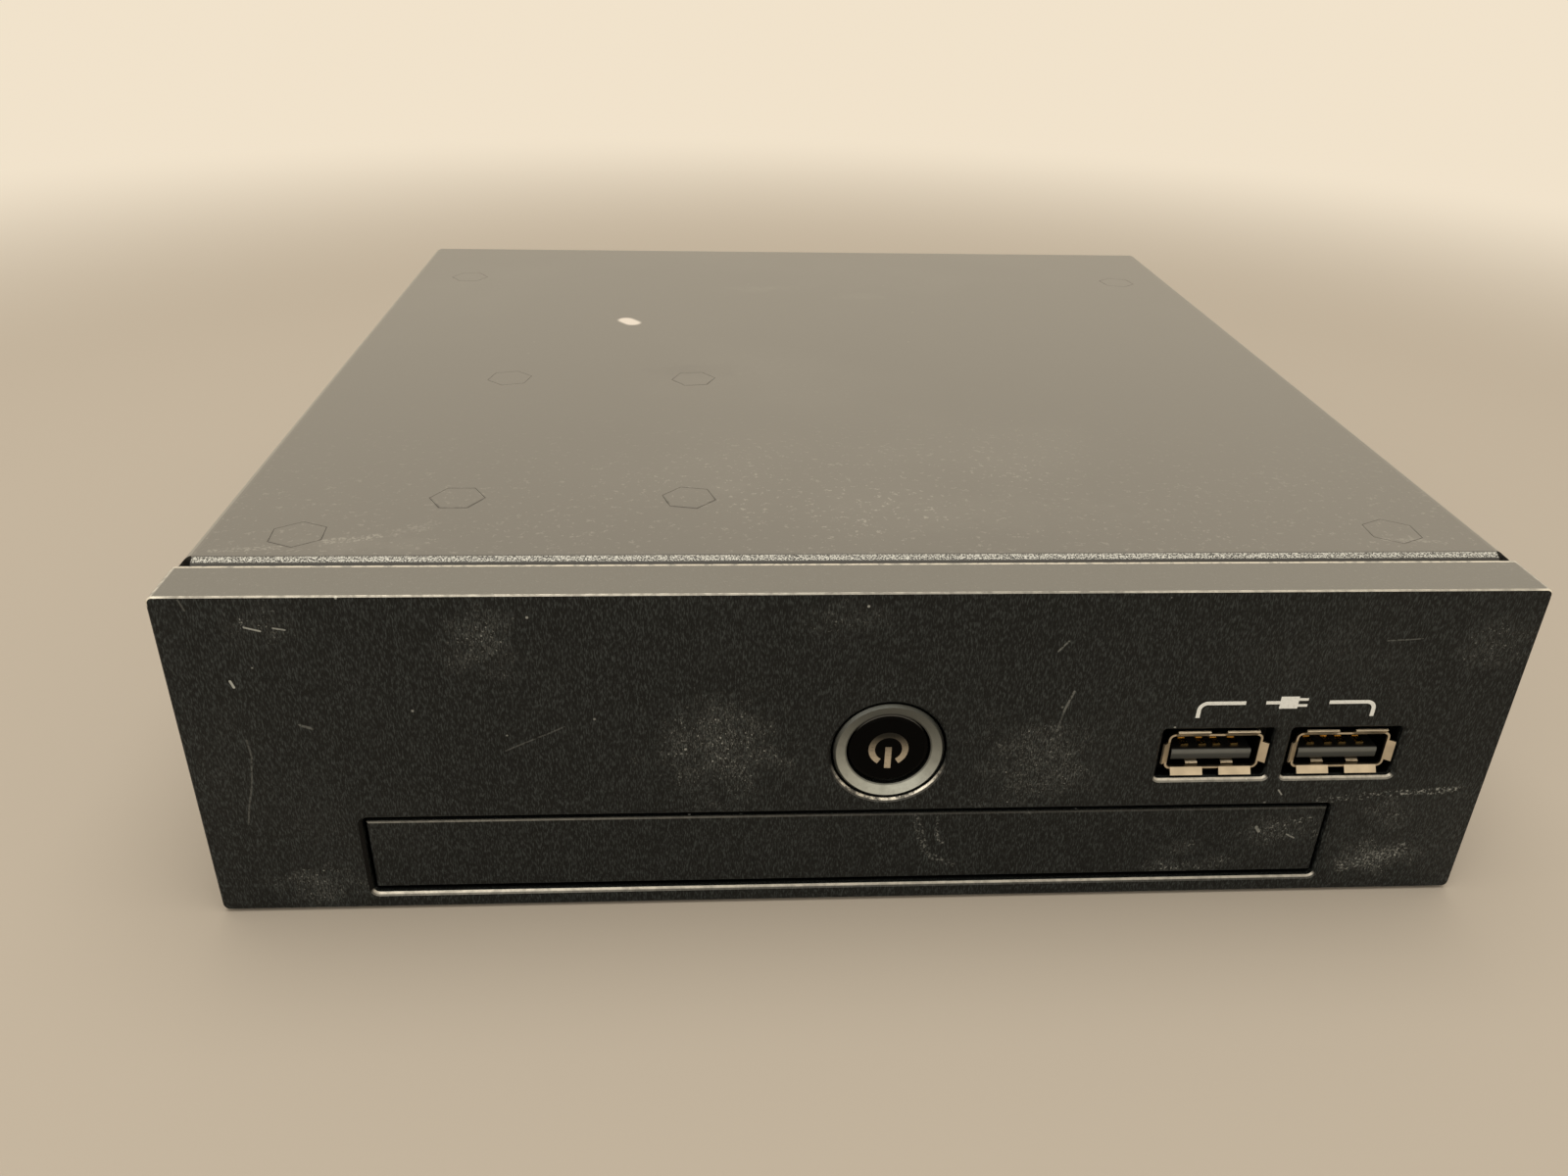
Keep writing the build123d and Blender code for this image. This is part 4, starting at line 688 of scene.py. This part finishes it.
def make_metal(name, colour, roughness, spread, scale, bump):
    """Plated or bare metal with faint stains and a fine uneven skin."""
    net = Finish(name, metallic=1.0)
    stain = net.noise(scale, 4.0, 0.6)
    return net.dress(
        base_color=net.tones(net.ramp(stain, 0.3, 0.75), colour, 0.80, 1.1),
        roughness=net.rise(roughness, stain, spread),
        normal=net.bump(net.noise(scale * 7.0), bump * MM))


def gold_finish():
    """Gold plate, shared by all contacts."""
    return bpy.data.materials.get("Gold contact") or make_metal(
        "Gold contact", (0.83, 0.56, 0.20), 0.22, 0.1, 900.0, 0.004)


def make_plastic(name, colour, roughness, scale, bump):
    """Moulded plastic with a fine eroded texture."""
    net = Finish(name)
    skin = net.noise(scale, 3.0, 0.55)
    return net.dress(
        base_color=net.tones(net.ramp(net.noise(60.0), 0.3, 0.7), colour, 0.82, 1.18),
        roughness=net.rise(roughness - 0.06, skin, 0.12), normal=net.bump(skin, bump * MM))


def make_board_finish():
    """Green solder mask over copper tracks, with bare tinned pads."""
    net = Finish("Circuit board")
    place = net.place()
    x, y, _ = net.parts(place)
    warp = net.cells(net.vector("MULTIPLY", place, (1.0, 1.0, 0.0)), 90.0, "Color")
    turn = net.ramp(net.parts(warp)[0], 0.49, 0.51)
    along = net.plus(net.times(x, turn), net.times(y, net.minus(1.0, turn)))
    line = net.ramp(net.sum("PINGPONG", along, 0.9 * MM), 0.40 * MM, 0.52 * MM)
    track = net.times(line, net.ramp(net.parts(warp)[1], 0.30, 0.32))
    chosen = net.ramp(net.parts(net.cells(place, 420.0, "Color"))[2], 0.72, 0.74)
    pads = net.times(net.ramp(net.cells(place, 420.0), 0.26, 0.22), chosen)
    base = net.layers(
        (0.008, 0.036, 0.018),
        ((0.020, 0.090, 0.040), track), ((0.75, 0.72, 0.62), pads))
    return net.dress(
        base_color=base, metallic=pads, roughness=net.rise(0.34, pads, -0.08),
        normal=net.bump(net.plus(track, pads), 0.03 * MM))


def make_lens_finish():
    """Coated glass of the pickup's lens."""
    net = Finish("Coated lens", roughness=0.03, ior=1.55)
    hue = net.mix(net.noise(700.0, 1.0), (0.35, 0.45, 0.80), (0.55, 0.50, 0.85))
    return net.dress(base_color=hue, transmission_weight=0.7)


def make_ink(name, colour, roughness):
    """Print with slightly rubbed edges."""
    net = Finish(name)
    rub = net.noise(2400.0, 4.0, 0.7)
    return net.dress(
        base_color=net.tones(net.ramp(rub, 0.34, 0.52), colour, 0.84, 1.0),
        roughness=net.rise(roughness, rub, 0.15))


def paint(material, *nodes):
    """Give CAD nodes a finish through their material slots."""
    for name in nodes:
        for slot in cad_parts[name].material_slots:
            slot.material = material


def add_object(name, data):
    """A new object of the scene."""
    made = bpy.data.objects.new(name, data)
    bpy.context.scene.collection.objects.link(made)
    return made


def add_mesh(name, shape, material):
    """Turn a finished bmesh into an object."""
    mesh = bpy.data.meshes.new(name)
    shape.to_mesh(mesh)
    shape.free()
    mesh.materials.append(material)
    return add_object(name, mesh)


def add_piece(name, shape, material, body):
    """Turn a finished bmesh into a piece that rides on a body."""
    bmesh.ops.recalc_face_normals(shape, faces=shape.faces)
    piece = add_mesh(name, shape, material)
    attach(piece, body)
    return piece


def add_walls(shape, rings):
    """Faces between closed rings of corners, from each ring to the next."""
    for first, second in zip(rings, rings[1:]):
        for i in range(len(first)):
            shape.faces.new((first[i - 1], first[i], second[i], second[i - 1]))


def add_bar(shape, rings):
    """A bar through rings of points, closed at both ends."""
    rings = [[shape.verts.new(point) for point in ring] for ring in rings]
    add_walls(shape, rings)
    for end in (rings[0], rings[-1]):
        shape.faces.new(end)


def add_plate(shape, left, right, face, lift):
    """A strip between two rows of (x, z) points on an upright face, standing proud by lift."""
    front = face - lift
    add_bar(shape, [
        ((x, face, z), (far_x, face, far_z), (far_x, front, far_z), (x, front, z))
        for (x, z), (far_x, far_z) in zip(left, right)])


def add_band(shape, path, width, face, lift):
    """A strip of even width along (x, z) points on an upright face."""
    left, right = [], []
    for i, (x, z) in enumerate(path):
        before = Vector(path[max(i - 1, 0)])
        after = Vector(path[min(i + 1, len(path) - 1)])
        way = (after - before).normalized()
        side = Vector((-way.y, way.x)) * width / 2
        left.append((x + side.x, z + side.y))
        right.append((x - side.x, z - side.y))
    add_plate(shape, left, right, face, lift)


def add_spring(shape, middle, width, path, gauge):
    """A bent metal strip along (y, z) points, centred on x."""
    left, right = middle - width / 2, middle + width / 2
    add_bar(shape, [
        ((left, y, z), (right, y, z), (right, y, z + gauge), (left, y, z + gauge)) for y, z in path])


def arc(centre, radius, start, end, steps):
    """Points of an arc in the (x, z) plane, angles in degrees from +x."""
    turns = [radians(start + (end - start) * i / steps) for i in range(steps + 1)]
    return [(centre[0] + radius * cos(t), centre[1] + radius * sin(t)) for t in turns]


class PLAYER_OT_front_plate(bpy.types.Operator):
    """Finish the front plate and the panel on the disc tray"""

    bl_idname = "player.front_plate"
    bl_label = "Front plate"

    def execute(self, context):
        paint(make_plate_finish(), "front_bezel", "tray_front")
        return {"FINISHED"}


class PLAYER_OT_shell(bpy.types.Operator):
    """Finish the folded shell and its flush standoffs, and add its screws"""

    bl_idname = "player.shell"
    bl_label = "Shell"

    def execute(self, context):
        paint(make_coat_finish(), "upper_pan", "lower_cover", "board_standoffs", "cooler_standoffs")
        black = make_metal("Black zinc", (0.066, 0.065, 0.063), 0.32, 0.15, 500.0, 0.004)
        self.add_side_screws("cover_screws", "cover_cross_screws", black)
        self.add_side_screws("bracket_screws", "bracket_cross_screws", black)
        return {"FINISHED"}

    def add_side_screws(self, node, name, black):
        """Countersunk screws with cross recesses in both side walls, in place of the plain ones."""
        low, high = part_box(node)
        radius = (high.z - low.z) / 2
        shape = bmesh.new()
        for face, inward in ((low.x, 1), (high.x, -1)):
            for y in (low.y + radius, high.y - radius):
                self.add_cross_screw(shape, Vector((face, y, low.z + radius)), inward, radius)
        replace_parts(add_piece(name, shape, black, "case"), node)

    def add_cross_screw(self, shape, centre, inward, radius):
        """One screw along x: a head with a tapered cross-shaped pit, a cone and a shank."""
        arm, reach, pit, taper = 0.32 * MM, 1.25 * MM, 0.8 * MM, 0.5
        sheet, bite, around = 1.0 * MM, 2.2 * MM, 36

        def row(points, depth):
            return [shape.verts.new(centre + Vector((inward * depth, y, z))) for y, z in points]

        def ring(reach, depth):
            turns = [2 * pi * (i - 1.5) / around for i in range(around)]
            return row([(reach * cos(turn), reach * sin(turn)) for turn in turns], depth)

        cross = []
        for quarter in range(4):
            for y, z in ((reach, -arm), (reach, arm), (arm, arm)):
                for _ in range(quarter):
                    y, z = -z, y
                cross.append((y, z))
        mouth = row(cross, 0.0)
        floor = row([(y * taper, z * taper) for y, z in cross], pit)
        rim, neck, end = ring(radius, 0.0), ring(radius - sheet, sheet), ring(radius - sheet, bite)
        add_walls(shape, [mouth, floor])
        add_walls(shape, [rim, neck, end])
        shape.faces.new(floor)
        shape.faces.new(end)
        step = around // len(cross)
        for i in range(len(cross)):
            outside = [rim[(i * step + j) % around] for j in range(step + 1)]
            shape.faces.new([mouth[i]] + outside + [mouth[(i + 1) % len(cross)]])


class PLAYER_OT_button(bpy.types.Operator):
    """Finish the push button and add its standby sign"""

    bl_idname = "player.button"
    bl_label = "Push button"

    def execute(self, context):
        paint(make_ring_finish(), "button_ring")
        paint(make_gloss_finish(), "power_button")
        self.add_sign(context.scene.player_print)
        return {"FINISHED"}

    def add_sign(self, sizes):
        """The standby sign: a ring open at its foot, and a bar through the opening."""
        sink, lift = 0.002 * MM, 0.03 * MM
        start, end, steps = -58.0, 238.0, 48
        face, half = CAP_LOW.y + sink, sizes.sign_stroke / 2
        x, z = CAP_CENTRE.x, CAP_CENTRE.z
        bar_top, bar_low = z + 0.35 * MM, z - 3.1 * MM
        outer = arc((x, z), sizes.sign_radius, start, end, steps)
        inner = arc((x, z), sizes.sign_radius - sizes.sign_stroke, start, end, steps)
        shape = bmesh.new()
        add_plate(shape, outer, inner, face, lift)
        add_plate(shape, [(x - half, bar_top), (x - half, bar_low)],
                  [(x + half, bar_top), (x + half, bar_low)], face, lift)
        add_piece("standby_sign", shape, make_sign_finish(), "button")


class PLAYER_OT_ports(bpy.types.Operator):
    """Finish the data ports and add their springs"""

    bl_idname = "player.ports"
    bl_label = "Data ports"

    def execute(self, context):
        nickel = context.scene.player_finish.nickel_colour
        paint(self.make_shell_finish(nickel), *PORTS)
        paint(self.make_tongue_finish(), "port_tongues")
        paint(gold_finish(), "port_contacts")
        self.add_contact_bends()
        self.add_shell_springs(make_metal("Nickel spring", nickel, 0.26, 0.12, 900.0, 0.004))
        return {"FINISHED"}

    def add_springs(self, shape, offsets, width, path):
        """Like springs in both ports, at offsets from each port's middle."""
        for port in PORTS:
            middle = middle_of(*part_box(port))[0]
            for offset in offsets:
                add_spring(shape, middle + offset * MM, width, path, 0.1 * MM)

    def add_contact_bends(self):
        """The raised bends of the contacts, where a plug presses on them."""
        start, level = CONTACT_LOW.y + 1.5 * MM, CONTACT_HIGH.z - 0.03 * MM
        path = [(start + run * MM, level + rise * MM) for run, rise in (
            (0.0, 0.0), (0.35, 0.34), (0.75, 0.55), (1.15, 0.60), (1.6, 0.42), (2.1, 0.0))]
        shape = bmesh.new()
        self.add_springs(shape, CONTACT_STEPS, 0.9 * MM, path)
        add_piece("contact_bends", shape, gold_finish(), "case")

    def add_shell_springs(self, nickel):
        """The springs in the floor of each shell that grip a plug."""
        path = [(PORT_TIP + run * MM, TONGUE_LOW.z + rise * MM) for run, rise in (
            (1.2, 0.12), (1.6, 0.34), (2.1, 0.50), (2.8, 0.44), (4.2, 0.02))]
        shape = bmesh.new()
        self.add_springs(shape, (-2.5, 2.5), 1.7 * MM, path)
        add_piece("shell_springs", shape, nickel, "case")

    def make_shell_finish(self, colour):
        """Bright nickel on the flared tabs, with painted shade darkening the inside of the shell."""
        net = Finish("Warm nickel plate", metallic=1.0)
        stain = net.noise(420.0, 3.0)
        # painted shade deep inside the shell
        deep = net.beside(net.where()[1], PORT_TIP, 0.5, 1.3)
        base = net.tones(net.ramp(stain, 0.3, 0.75), colour, 0.88, 1.12)
        return net.dress(
            base_color=net.mix(deep, base, tint(colour, 0.05)),
            roughness=net.rise(0.26, stain, 0.12), normal=net.bump(net.noise(2600.0), 0.002 * MM))

    def make_tongue_finish(self):
        """Black plastic with a painted highlight on its blunt tip, brightest near its top edge."""
        net = Finish("Port tongue", ior=1.4)
        height = net.where()[2]
        middle = (TONGUE_LOW.z + TONGUE_HIGH.z) / 2
        front = net.ramp(net.normal()[1], -0.45, -0.85)
        # painted highlight on the forward-facing faces of the tip
        pale = net.times(front, net.ramp(height, middle - 2.2 * MM, middle - 0.9 * MM))
        stretched = net.vector("MULTIPLY", net.place(), (600.0, 600.0, 2400.0))
        skin = net.noise(1.0, 3.0, 0.6, stretched)
        highlit_crest = net.beside(height, CONTACT_LOW.z, -0.95, -0.45)
        lit_tip_colour = net.layers(
            (0.045, 0.05, 0.048), ((0.15, 0.158, 0.152), highlit_crest, net.plus(0.5, skin)))
        return net.dress(
            base_color=net.mix(pale, (0.009, 0.009, 0.009), lit_tip_colour),
            roughness=net.rise(0.30, skin, 0.2))


class PLAYER_OT_port_print(bpy.types.Operator):
    """Print the bracket and the plug sign over the data ports"""

    bl_idname = "player.port_print"
    bl_label = "Port print"

    def execute(self, context):
        sizes = context.scene.player_print
        white = make_ink("White print", (0.96, 1.0, 1.0), 0.42)
        face = FRONT - 0.002 * MM
        level = PLATE_LOW.z + sizes.bracket_top
        self.add_bracket(sizes, white, face, level)
        self.add_plug_sign(sizes, white, face, level)
        return {"FINISHED"}

    def add_bracket(self, sizes, white, face, level):
        """Two lines over the ports, each bent down at its outer end."""
        foot, bend = PLATE_LOW.z + sizes.bracket_foot, 1.1 * MM
        shape = bmesh.new()
        for foot_x, end_x, turn, start in ((44.8, 51.0, 1, 180.0), (68.7, 62.4, -1, 0.0)):
            corner = (foot_x * MM + turn * bend, level - bend)
            path = [(foot_x * MM, foot)] + arc(corner, bend, start, 90.0, 10) + [(end_x * MM, level)]
            add_band(shape, path, sizes.stroke, face, sizes.ink)
        add_piece("bracket_print", shape, white, "case")

    def add_plug_sign(self, sizes, white, face, level):
        """A plain plug with two prongs and its lead."""
        middle, half_w, half_h = 56.9 * MM, 1.25 * MM, 0.95 * MM
        prong, prong_rise, lead = 1.3 * MM, 0.48 * MM, 1.9 * MM
        left, right = middle - half_w, middle + half_w
        stroke = sizes.stroke * 0.9
        shape = bmesh.new()
        add_plate(shape, [(left, level - half_h), (left, level + half_h)],
                  [(right, level - half_h), (right, level + half_h)], face, sizes.ink)
        for rise in (-prong_rise, prong_rise):
            path = [(right, level + rise), (right + prong, level + rise)]
            add_band(shape, path, stroke * 0.8, face, sizes.ink)
        add_band(shape, [(left - lead, level), (left, level)], stroke, face, sizes.ink)
        add_piece("plug_sign", shape, white, "case")


class PLAYER_OT_disc_drive(bpy.types.Operator):
    """Finish the disc drive, its rails, spindle and pickup"""

    bl_idname = "player.disc_drive"
    bl_label = "Disc drive"

    def execute(self, context):
        paint(make_metal("Zinc plated steel", (0.60, 0.60, 0.58), 0.24, 0.22, 140.0, 0.012),
              "drive_case", "drive_lid", "drive_bracket", "drive_screws", "storage_screws", "traverse_plate")
        bright = make_metal("Ground steel", (0.66, 0.66, 0.65), 0.14, 0.10, 1500.0, 0.003)
        paint(bright, "tray_rail_left", "tray_rail_right", "guide_rods", "sled_motor", "spindle_motor")
        paint(make_metal("Spindle metal", (0.58, 0.58, 0.55), 0.22, 0.12, 300.0, 0.001), "spindle_hub")
        paint(make_plastic("Black tray plastic", (0.014, 0.014, 0.0135), 0.46, 2600.0, 0.02),
              "disc_tray", "rail_guides", "pickup_sled")
        paint(make_lens_finish(), "pickup_lens")
        self.add_worm_thread(bright)
        return {"FINISHED"}

    def add_worm_thread(self, bright):
        """The lead screw with its helical groove, one turn for each pitch."""
        pitch, depth, around, steps = 3.0 * MM, 0.35 * MM, 24, 220
        middle_x, middle_z = middle_of(WORM_LOW, WORM_HIGH)
        radius = (WORM_HIGH.z - WORM_LOW.z) / 2
        turns = [2 * pi * i / around for i in range(around)]
        rings = []
        for j in range(steps + 1):
            y = WORM_LOW.y + (WORM_HIGH.y - WORM_LOW.y) * j / steps
            groove = 2 * pi * y / pitch
            reaches = [radius - depth * max(0.0, cos(turn - groove)) for turn in turns]
            rings.append([
                (middle_x + reach * cos(turn), y, middle_z + reach * sin(turn))
                for reach, turn in zip(reaches, turns)])
        shape = bmesh.new()
        add_bar(shape, rings)
        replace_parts(add_piece("worm_thread", shape, bright, "worm"), "lead_screw")


class PLAYER_OT_boards(bpy.types.Operator):
    """Finish the boards, cooler, storage drive and inner hardware"""

    bl_idname = "player.boards"
    bl_label = "Boards and cooler"

    def execute(self, context):
        paint(make_board_finish(), "mainboard", "memory_module", "port_board", "drive_board")
        paint(make_metal("Extruded aluminium", (0.70, 0.70, 0.69), 0.28, 0.18, 220.0, 0.02),
              "heat_sink", "storage_drive")
        paint(make_metal("Screw steel", (0.58, 0.58, 0.57), 0.22, 0.18, 700.0, 0.006),
              "bezel_screws", "board_screws", "cooler_screws", "port_screws", "port_bracket", "button_nut")
        paint(make_plastic("Black moulding", (0.016, 0.016, 0.016), 0.44, 2200.0, 0.015),
              "fan_frame", "fan_rotor", "switch_cup", "button_switch", "memory_socket", "lead_headers")
        paint(make_plastic("Chip resin", (0.028, 0.028, 0.03), 0.38, 3000.0, 0.006), "processor")
        paint(make_plastic("Lead sleeve", (0.02, 0.02, 0.021), 0.55, 900.0, 0.02), "switch_lead", "port_lead")
        return {"FINISHED"}


class PLAYER_OT_rear_sockets(bpy.types.Operator):
    """Finish the rear sockets and add their contacts"""

    bl_idname = "player.rear_sockets"
    bl_label = "Rear sockets"

    def execute(self, context):
        paint(self.make_socket_finish(), "data_stack", "video_socket", "network_socket")
        paint(make_plastic("Socket plastic", (0.014, 0.014, 0.014), 0.40, 2400.0, 0.012), "power_inlet")
        self.add_network_wires()
        self.add_tongue_contacts()
        return {"FINISHED"}

    def windows(self):
        """The openings of the rear sockets, by their middle (x, z), half width and half height."""
        stack_x = middle_of(STACK_LOW, STACK_HIGH)[0]
        network_x, network_z = middle_of(NETWORK_LOW, NETWORK_HIGH)
        step, half_x, half_z = 4.16 * MM, 6.15 * MM, 2.48 * MM
        return (
            (stack_x, STACK_HIGH.z - step, half_x, half_z), (stack_x, STACK_LOW.z + step, half_x, half_z),
            (network_x, network_z, 5.85 * MM, NETWORK_HALF),
            (network_x, network_z - 4.3 * MM, 3.1 * MM, 1.3 * MM),
            (*middle_of(VIDEO_LOW, VIDEO_HIGH), 6.2 * MM, 2.4 * MM),
        )

    def make_socket_finish(self):
        """Tinned shells round black plastic insides."""
        net = Finish("Tinned socket shell")
        x, _, z = net.where()
        soft = 0.06 * MM
        inside = net.most(*[
            net.times(net.ramp(net.size(net.minus(x, middle)), half_x, half_x - soft),
                      net.ramp(net.size(net.minus(z, height)), half_z, half_z - soft))
            for middle, height, half_x, half_z in self.windows()])
        stain = net.noise(600.0, 4.0, 0.6)
        base = net.mix(net.ramp(stain, 0.3, 0.75), (0.54, 0.53, 0.50), (0.74, 0.73, 0.69))
        return net.dress(
            base_color=net.mix(inside, base, (0.012, 0.012, 0.0125)),
            metallic=net.minus(1.0, inside), roughness=net.rise(0.24, stain, 0.18),
            normal=net.bump(net.noise(4200.0), 0.006 * MM))

    def add_network_wires(self):
        """Eight spring wires that slant down into the network socket."""
        wires, step, width, gauge = 8, 1.02 * MM, 0.38 * MM, 0.32 * MM
        middle, height = middle_of(NETWORK_LOW, NETWORK_HIGH)
        path = [(NETWORK_HIGH.y - run * MM, height + NETWORK_HALF - drop * MM) for run, drop in (
            (1.3, 0.45), (1.8, 0.40), (2.4, 0.55), (7.2, 3.1), (8.0, 3.4), (9.6, 3.5))]
        shape = bmesh.new()
        for i in range(wires):
            add_spring(shape, middle + (i - (wires - 1) / 2) * step, width, path, gauge)
        add_piece("network_wires", shape, gold_finish(), "case")

    def add_tongue_contacts(self):
        """Contacts along the tongues of the stacked data ports and the video socket."""
        upper, lower, *_, video = self.windows()
        rows = [(x, z - 0.06 * MM, 0.95, CONTACT_STEPS) for x, z, *_ in (upper, lower)]
        rows.append((video[0], video[1] + 0.56 * MM, 0.42, [i - 4.5 for i in range(10)]))
        shape = bmesh.new()
        for middle, top, width, offsets in rows:
            path = [(STACK_HIGH.y - run * MM, top + rise * MM) for run, rise in (
                (0.5, -0.05), (0.8, 0.05), (2.0, 0.08), (6.0, 0.08))]
            for offset in offsets:
                add_spring(shape, middle + offset * MM, width * MM, path, 0.05 * MM)
        add_piece("tongue_contacts", shape, gold_finish(), "case")


class PLAYER_OT_stage(bpy.types.Operator):
    """Set up the floor, backdrop, lamps and camera"""

    bl_idname = "player.stage"
    bl_label = "Stage"

    def execute(self, context):
        stage = context.scene.player_stage
        self.add_floor(stage)
        self.add_world(stage)
        self.add_lamps(stage)
        self.add_camera(stage)
        context.scene.view_settings.view_transform = "Standard"
        return {"FINISHED"}

    def add_floor(self, stage):
        """A pale floor that fades into a plain warm white backdrop away from the player."""
        half, fade_start, fade_end = 6.0, 0.26, 0.62
        net = Finish("Pale floor", roughness=0.85)
        material = net.dress(base_color=net.tones(net.noise(3.0), stage.floor_colour, 0.985, 1.015))
        glow = net.add("ShaderNodeEmission")
        net.put(glow.inputs["Color"], tint(stage.backdrop_colour))
        both = net.add("ShaderNodeMixShader")
        nodes = material.node_tree.nodes
        faded = net.ramp(net.vector("LENGTH", net.place()), fade_start, fade_end)
        net.put_all(both.inputs, (
            net.times(faded, self.seen(net)), nodes["Principled BSDF"].outputs[0], glow.outputs[0]))
        net.put(nodes["Material Output"].inputs["Surface"], both.outputs[0])
        shape = bmesh.new()
        corners = ((-half, -half), (half, -half), (half, half), (-half, half))
        shape.faces.new([shape.verts.new((x, y, 0.0)) for x, y in corners])
        floor = add_mesh("floor", shape, material)

    def seen(self, net):
        """One for rays that show the backdrop: to the camera, mirrored or through glass."""
        path = net.add("ShaderNodeLightPath").outputs
        return net.most(path["Is Camera Ray"], path["Is Glossy Ray"], path["Is Transmission Ray"])

    def add_world(self, stage):
        """The backdrop colour all round, dimmer where it only lights the scene."""
        dimmed = 0.45
        world = bpy.context.scene.world or bpy.data.worlds.new("Studio")
        bpy.context.scene.world = world
        world.use_nodes = True
        net = Net(world.node_tree)
        ground = world.node_tree.nodes["Background"]
        net.put(ground.inputs["Color"], tint(stage.backdrop_colour))
        net.put(ground.inputs["Strength"], net.ramp(self.seen(net), 0.0, 1.0, dimmed, 1.0))

    def add_lamps(self, stage):
        """Soft warm lamps, by place, size and share of the power: one overhead, one low in front."""
        aim, warm = Vector((0.0, 0.0, 0.03)), (1.0, 0.945, 0.85)
        lamps = {
            "overhead": ((0.0, -0.10, 1.15), 1.3, 1.0),
            "front_fill": ((-0.60, -1.00, 0.55), 0.9, 0.32),
        }
        for name, (place, size, share) in lamps.items():
            data = bpy.data.lights.new(name, "AREA")
            data.shape = "DISK"
            data.size = size
            data.energy = stage.lamp_power * share
            data.color = warm
            lamp = add_object(name, data)
            lamp.location = place
            lamp.rotation_euler = (aim - Vector(place)).to_track_quat("-Z", "Y").to_euler()

    def add_camera(self, stage):
        """The camera at the photograph's place."""
        turns = ((-stage.camera_yaw, "Z"), (pi / 2 - stage.camera_pitch, "X"), (stage.camera_roll, "Z"))
        yaw, pitch, roll = [Matrix.Rotation(angle, 4, axis) for angle, axis in turns]
        data = bpy.data.cameras.new("camera")
        data.sensor_width = 36.0
        data.lens = stage.lens
        data.clip_start = 0.01
        camera = add_object("camera", data)
        camera.matrix_world = Matrix.Translation(stage.camera_place) @ yaw @ pitch @ roll
        bpy.context.scene.camera = camera


OPERATORS = (
    PLAYER_OT_front_plate, PLAYER_OT_shell, PLAYER_OT_button, PLAYER_OT_ports, PLAYER_OT_port_print,
    PLAYER_OT_disc_drive, PLAYER_OT_boards, PLAYER_OT_rear_sockets, PLAYER_OT_stage,
)

GROUPS = {
    "player_finish": FinishProperties, "player_print": PrintProperties, "player_stage": StageProperties}


class PLAYER_PT_panel(bpy.types.Panel):
    """Lists the player's pieces and the values that shape them"""

    bl_idname = "PLAYER_PT_panel"
    bl_label = "Disc Player"
    bl_space_type = "VIEW_3D"
    bl_region_type = "UI"
    bl_category = "Disc Player"

    def draw(self, context):
        column = self.layout.column()
        for operator in OPERATORS:
            column.operator(operator.bl_idname)
        for group in [getattr(context.scene, name) for name in GROUPS]:
            box = self.layout.box()
            for name in group.__annotations__:
                box.prop(group, name)


CLASSES = (*GROUPS.values(), *OPERATORS, PLAYER_PT_panel)


def register():
    for cls in CLASSES:
        bpy.utils.register_class(cls)
    for name, group in GROUPS.items():
        setattr(bpy.types.Scene, name, bpy.props.PointerProperty(type=group))


def unregister():
    for name in GROUPS:
        delattr(bpy.types.Scene, name)
    for cls in reversed(CLASSES):
        bpy.utils.unregister_class(cls)


def main():
    register()
    for make in (make_grain_groups, make_wear_groups, make_mark_groups):
        make()
    for operator in OPERATORS:
        family, name = operator.bl_idname.split(".")
        getattr(getattr(bpy.ops, family), name)()


if __name__ == "__main__":
    main()
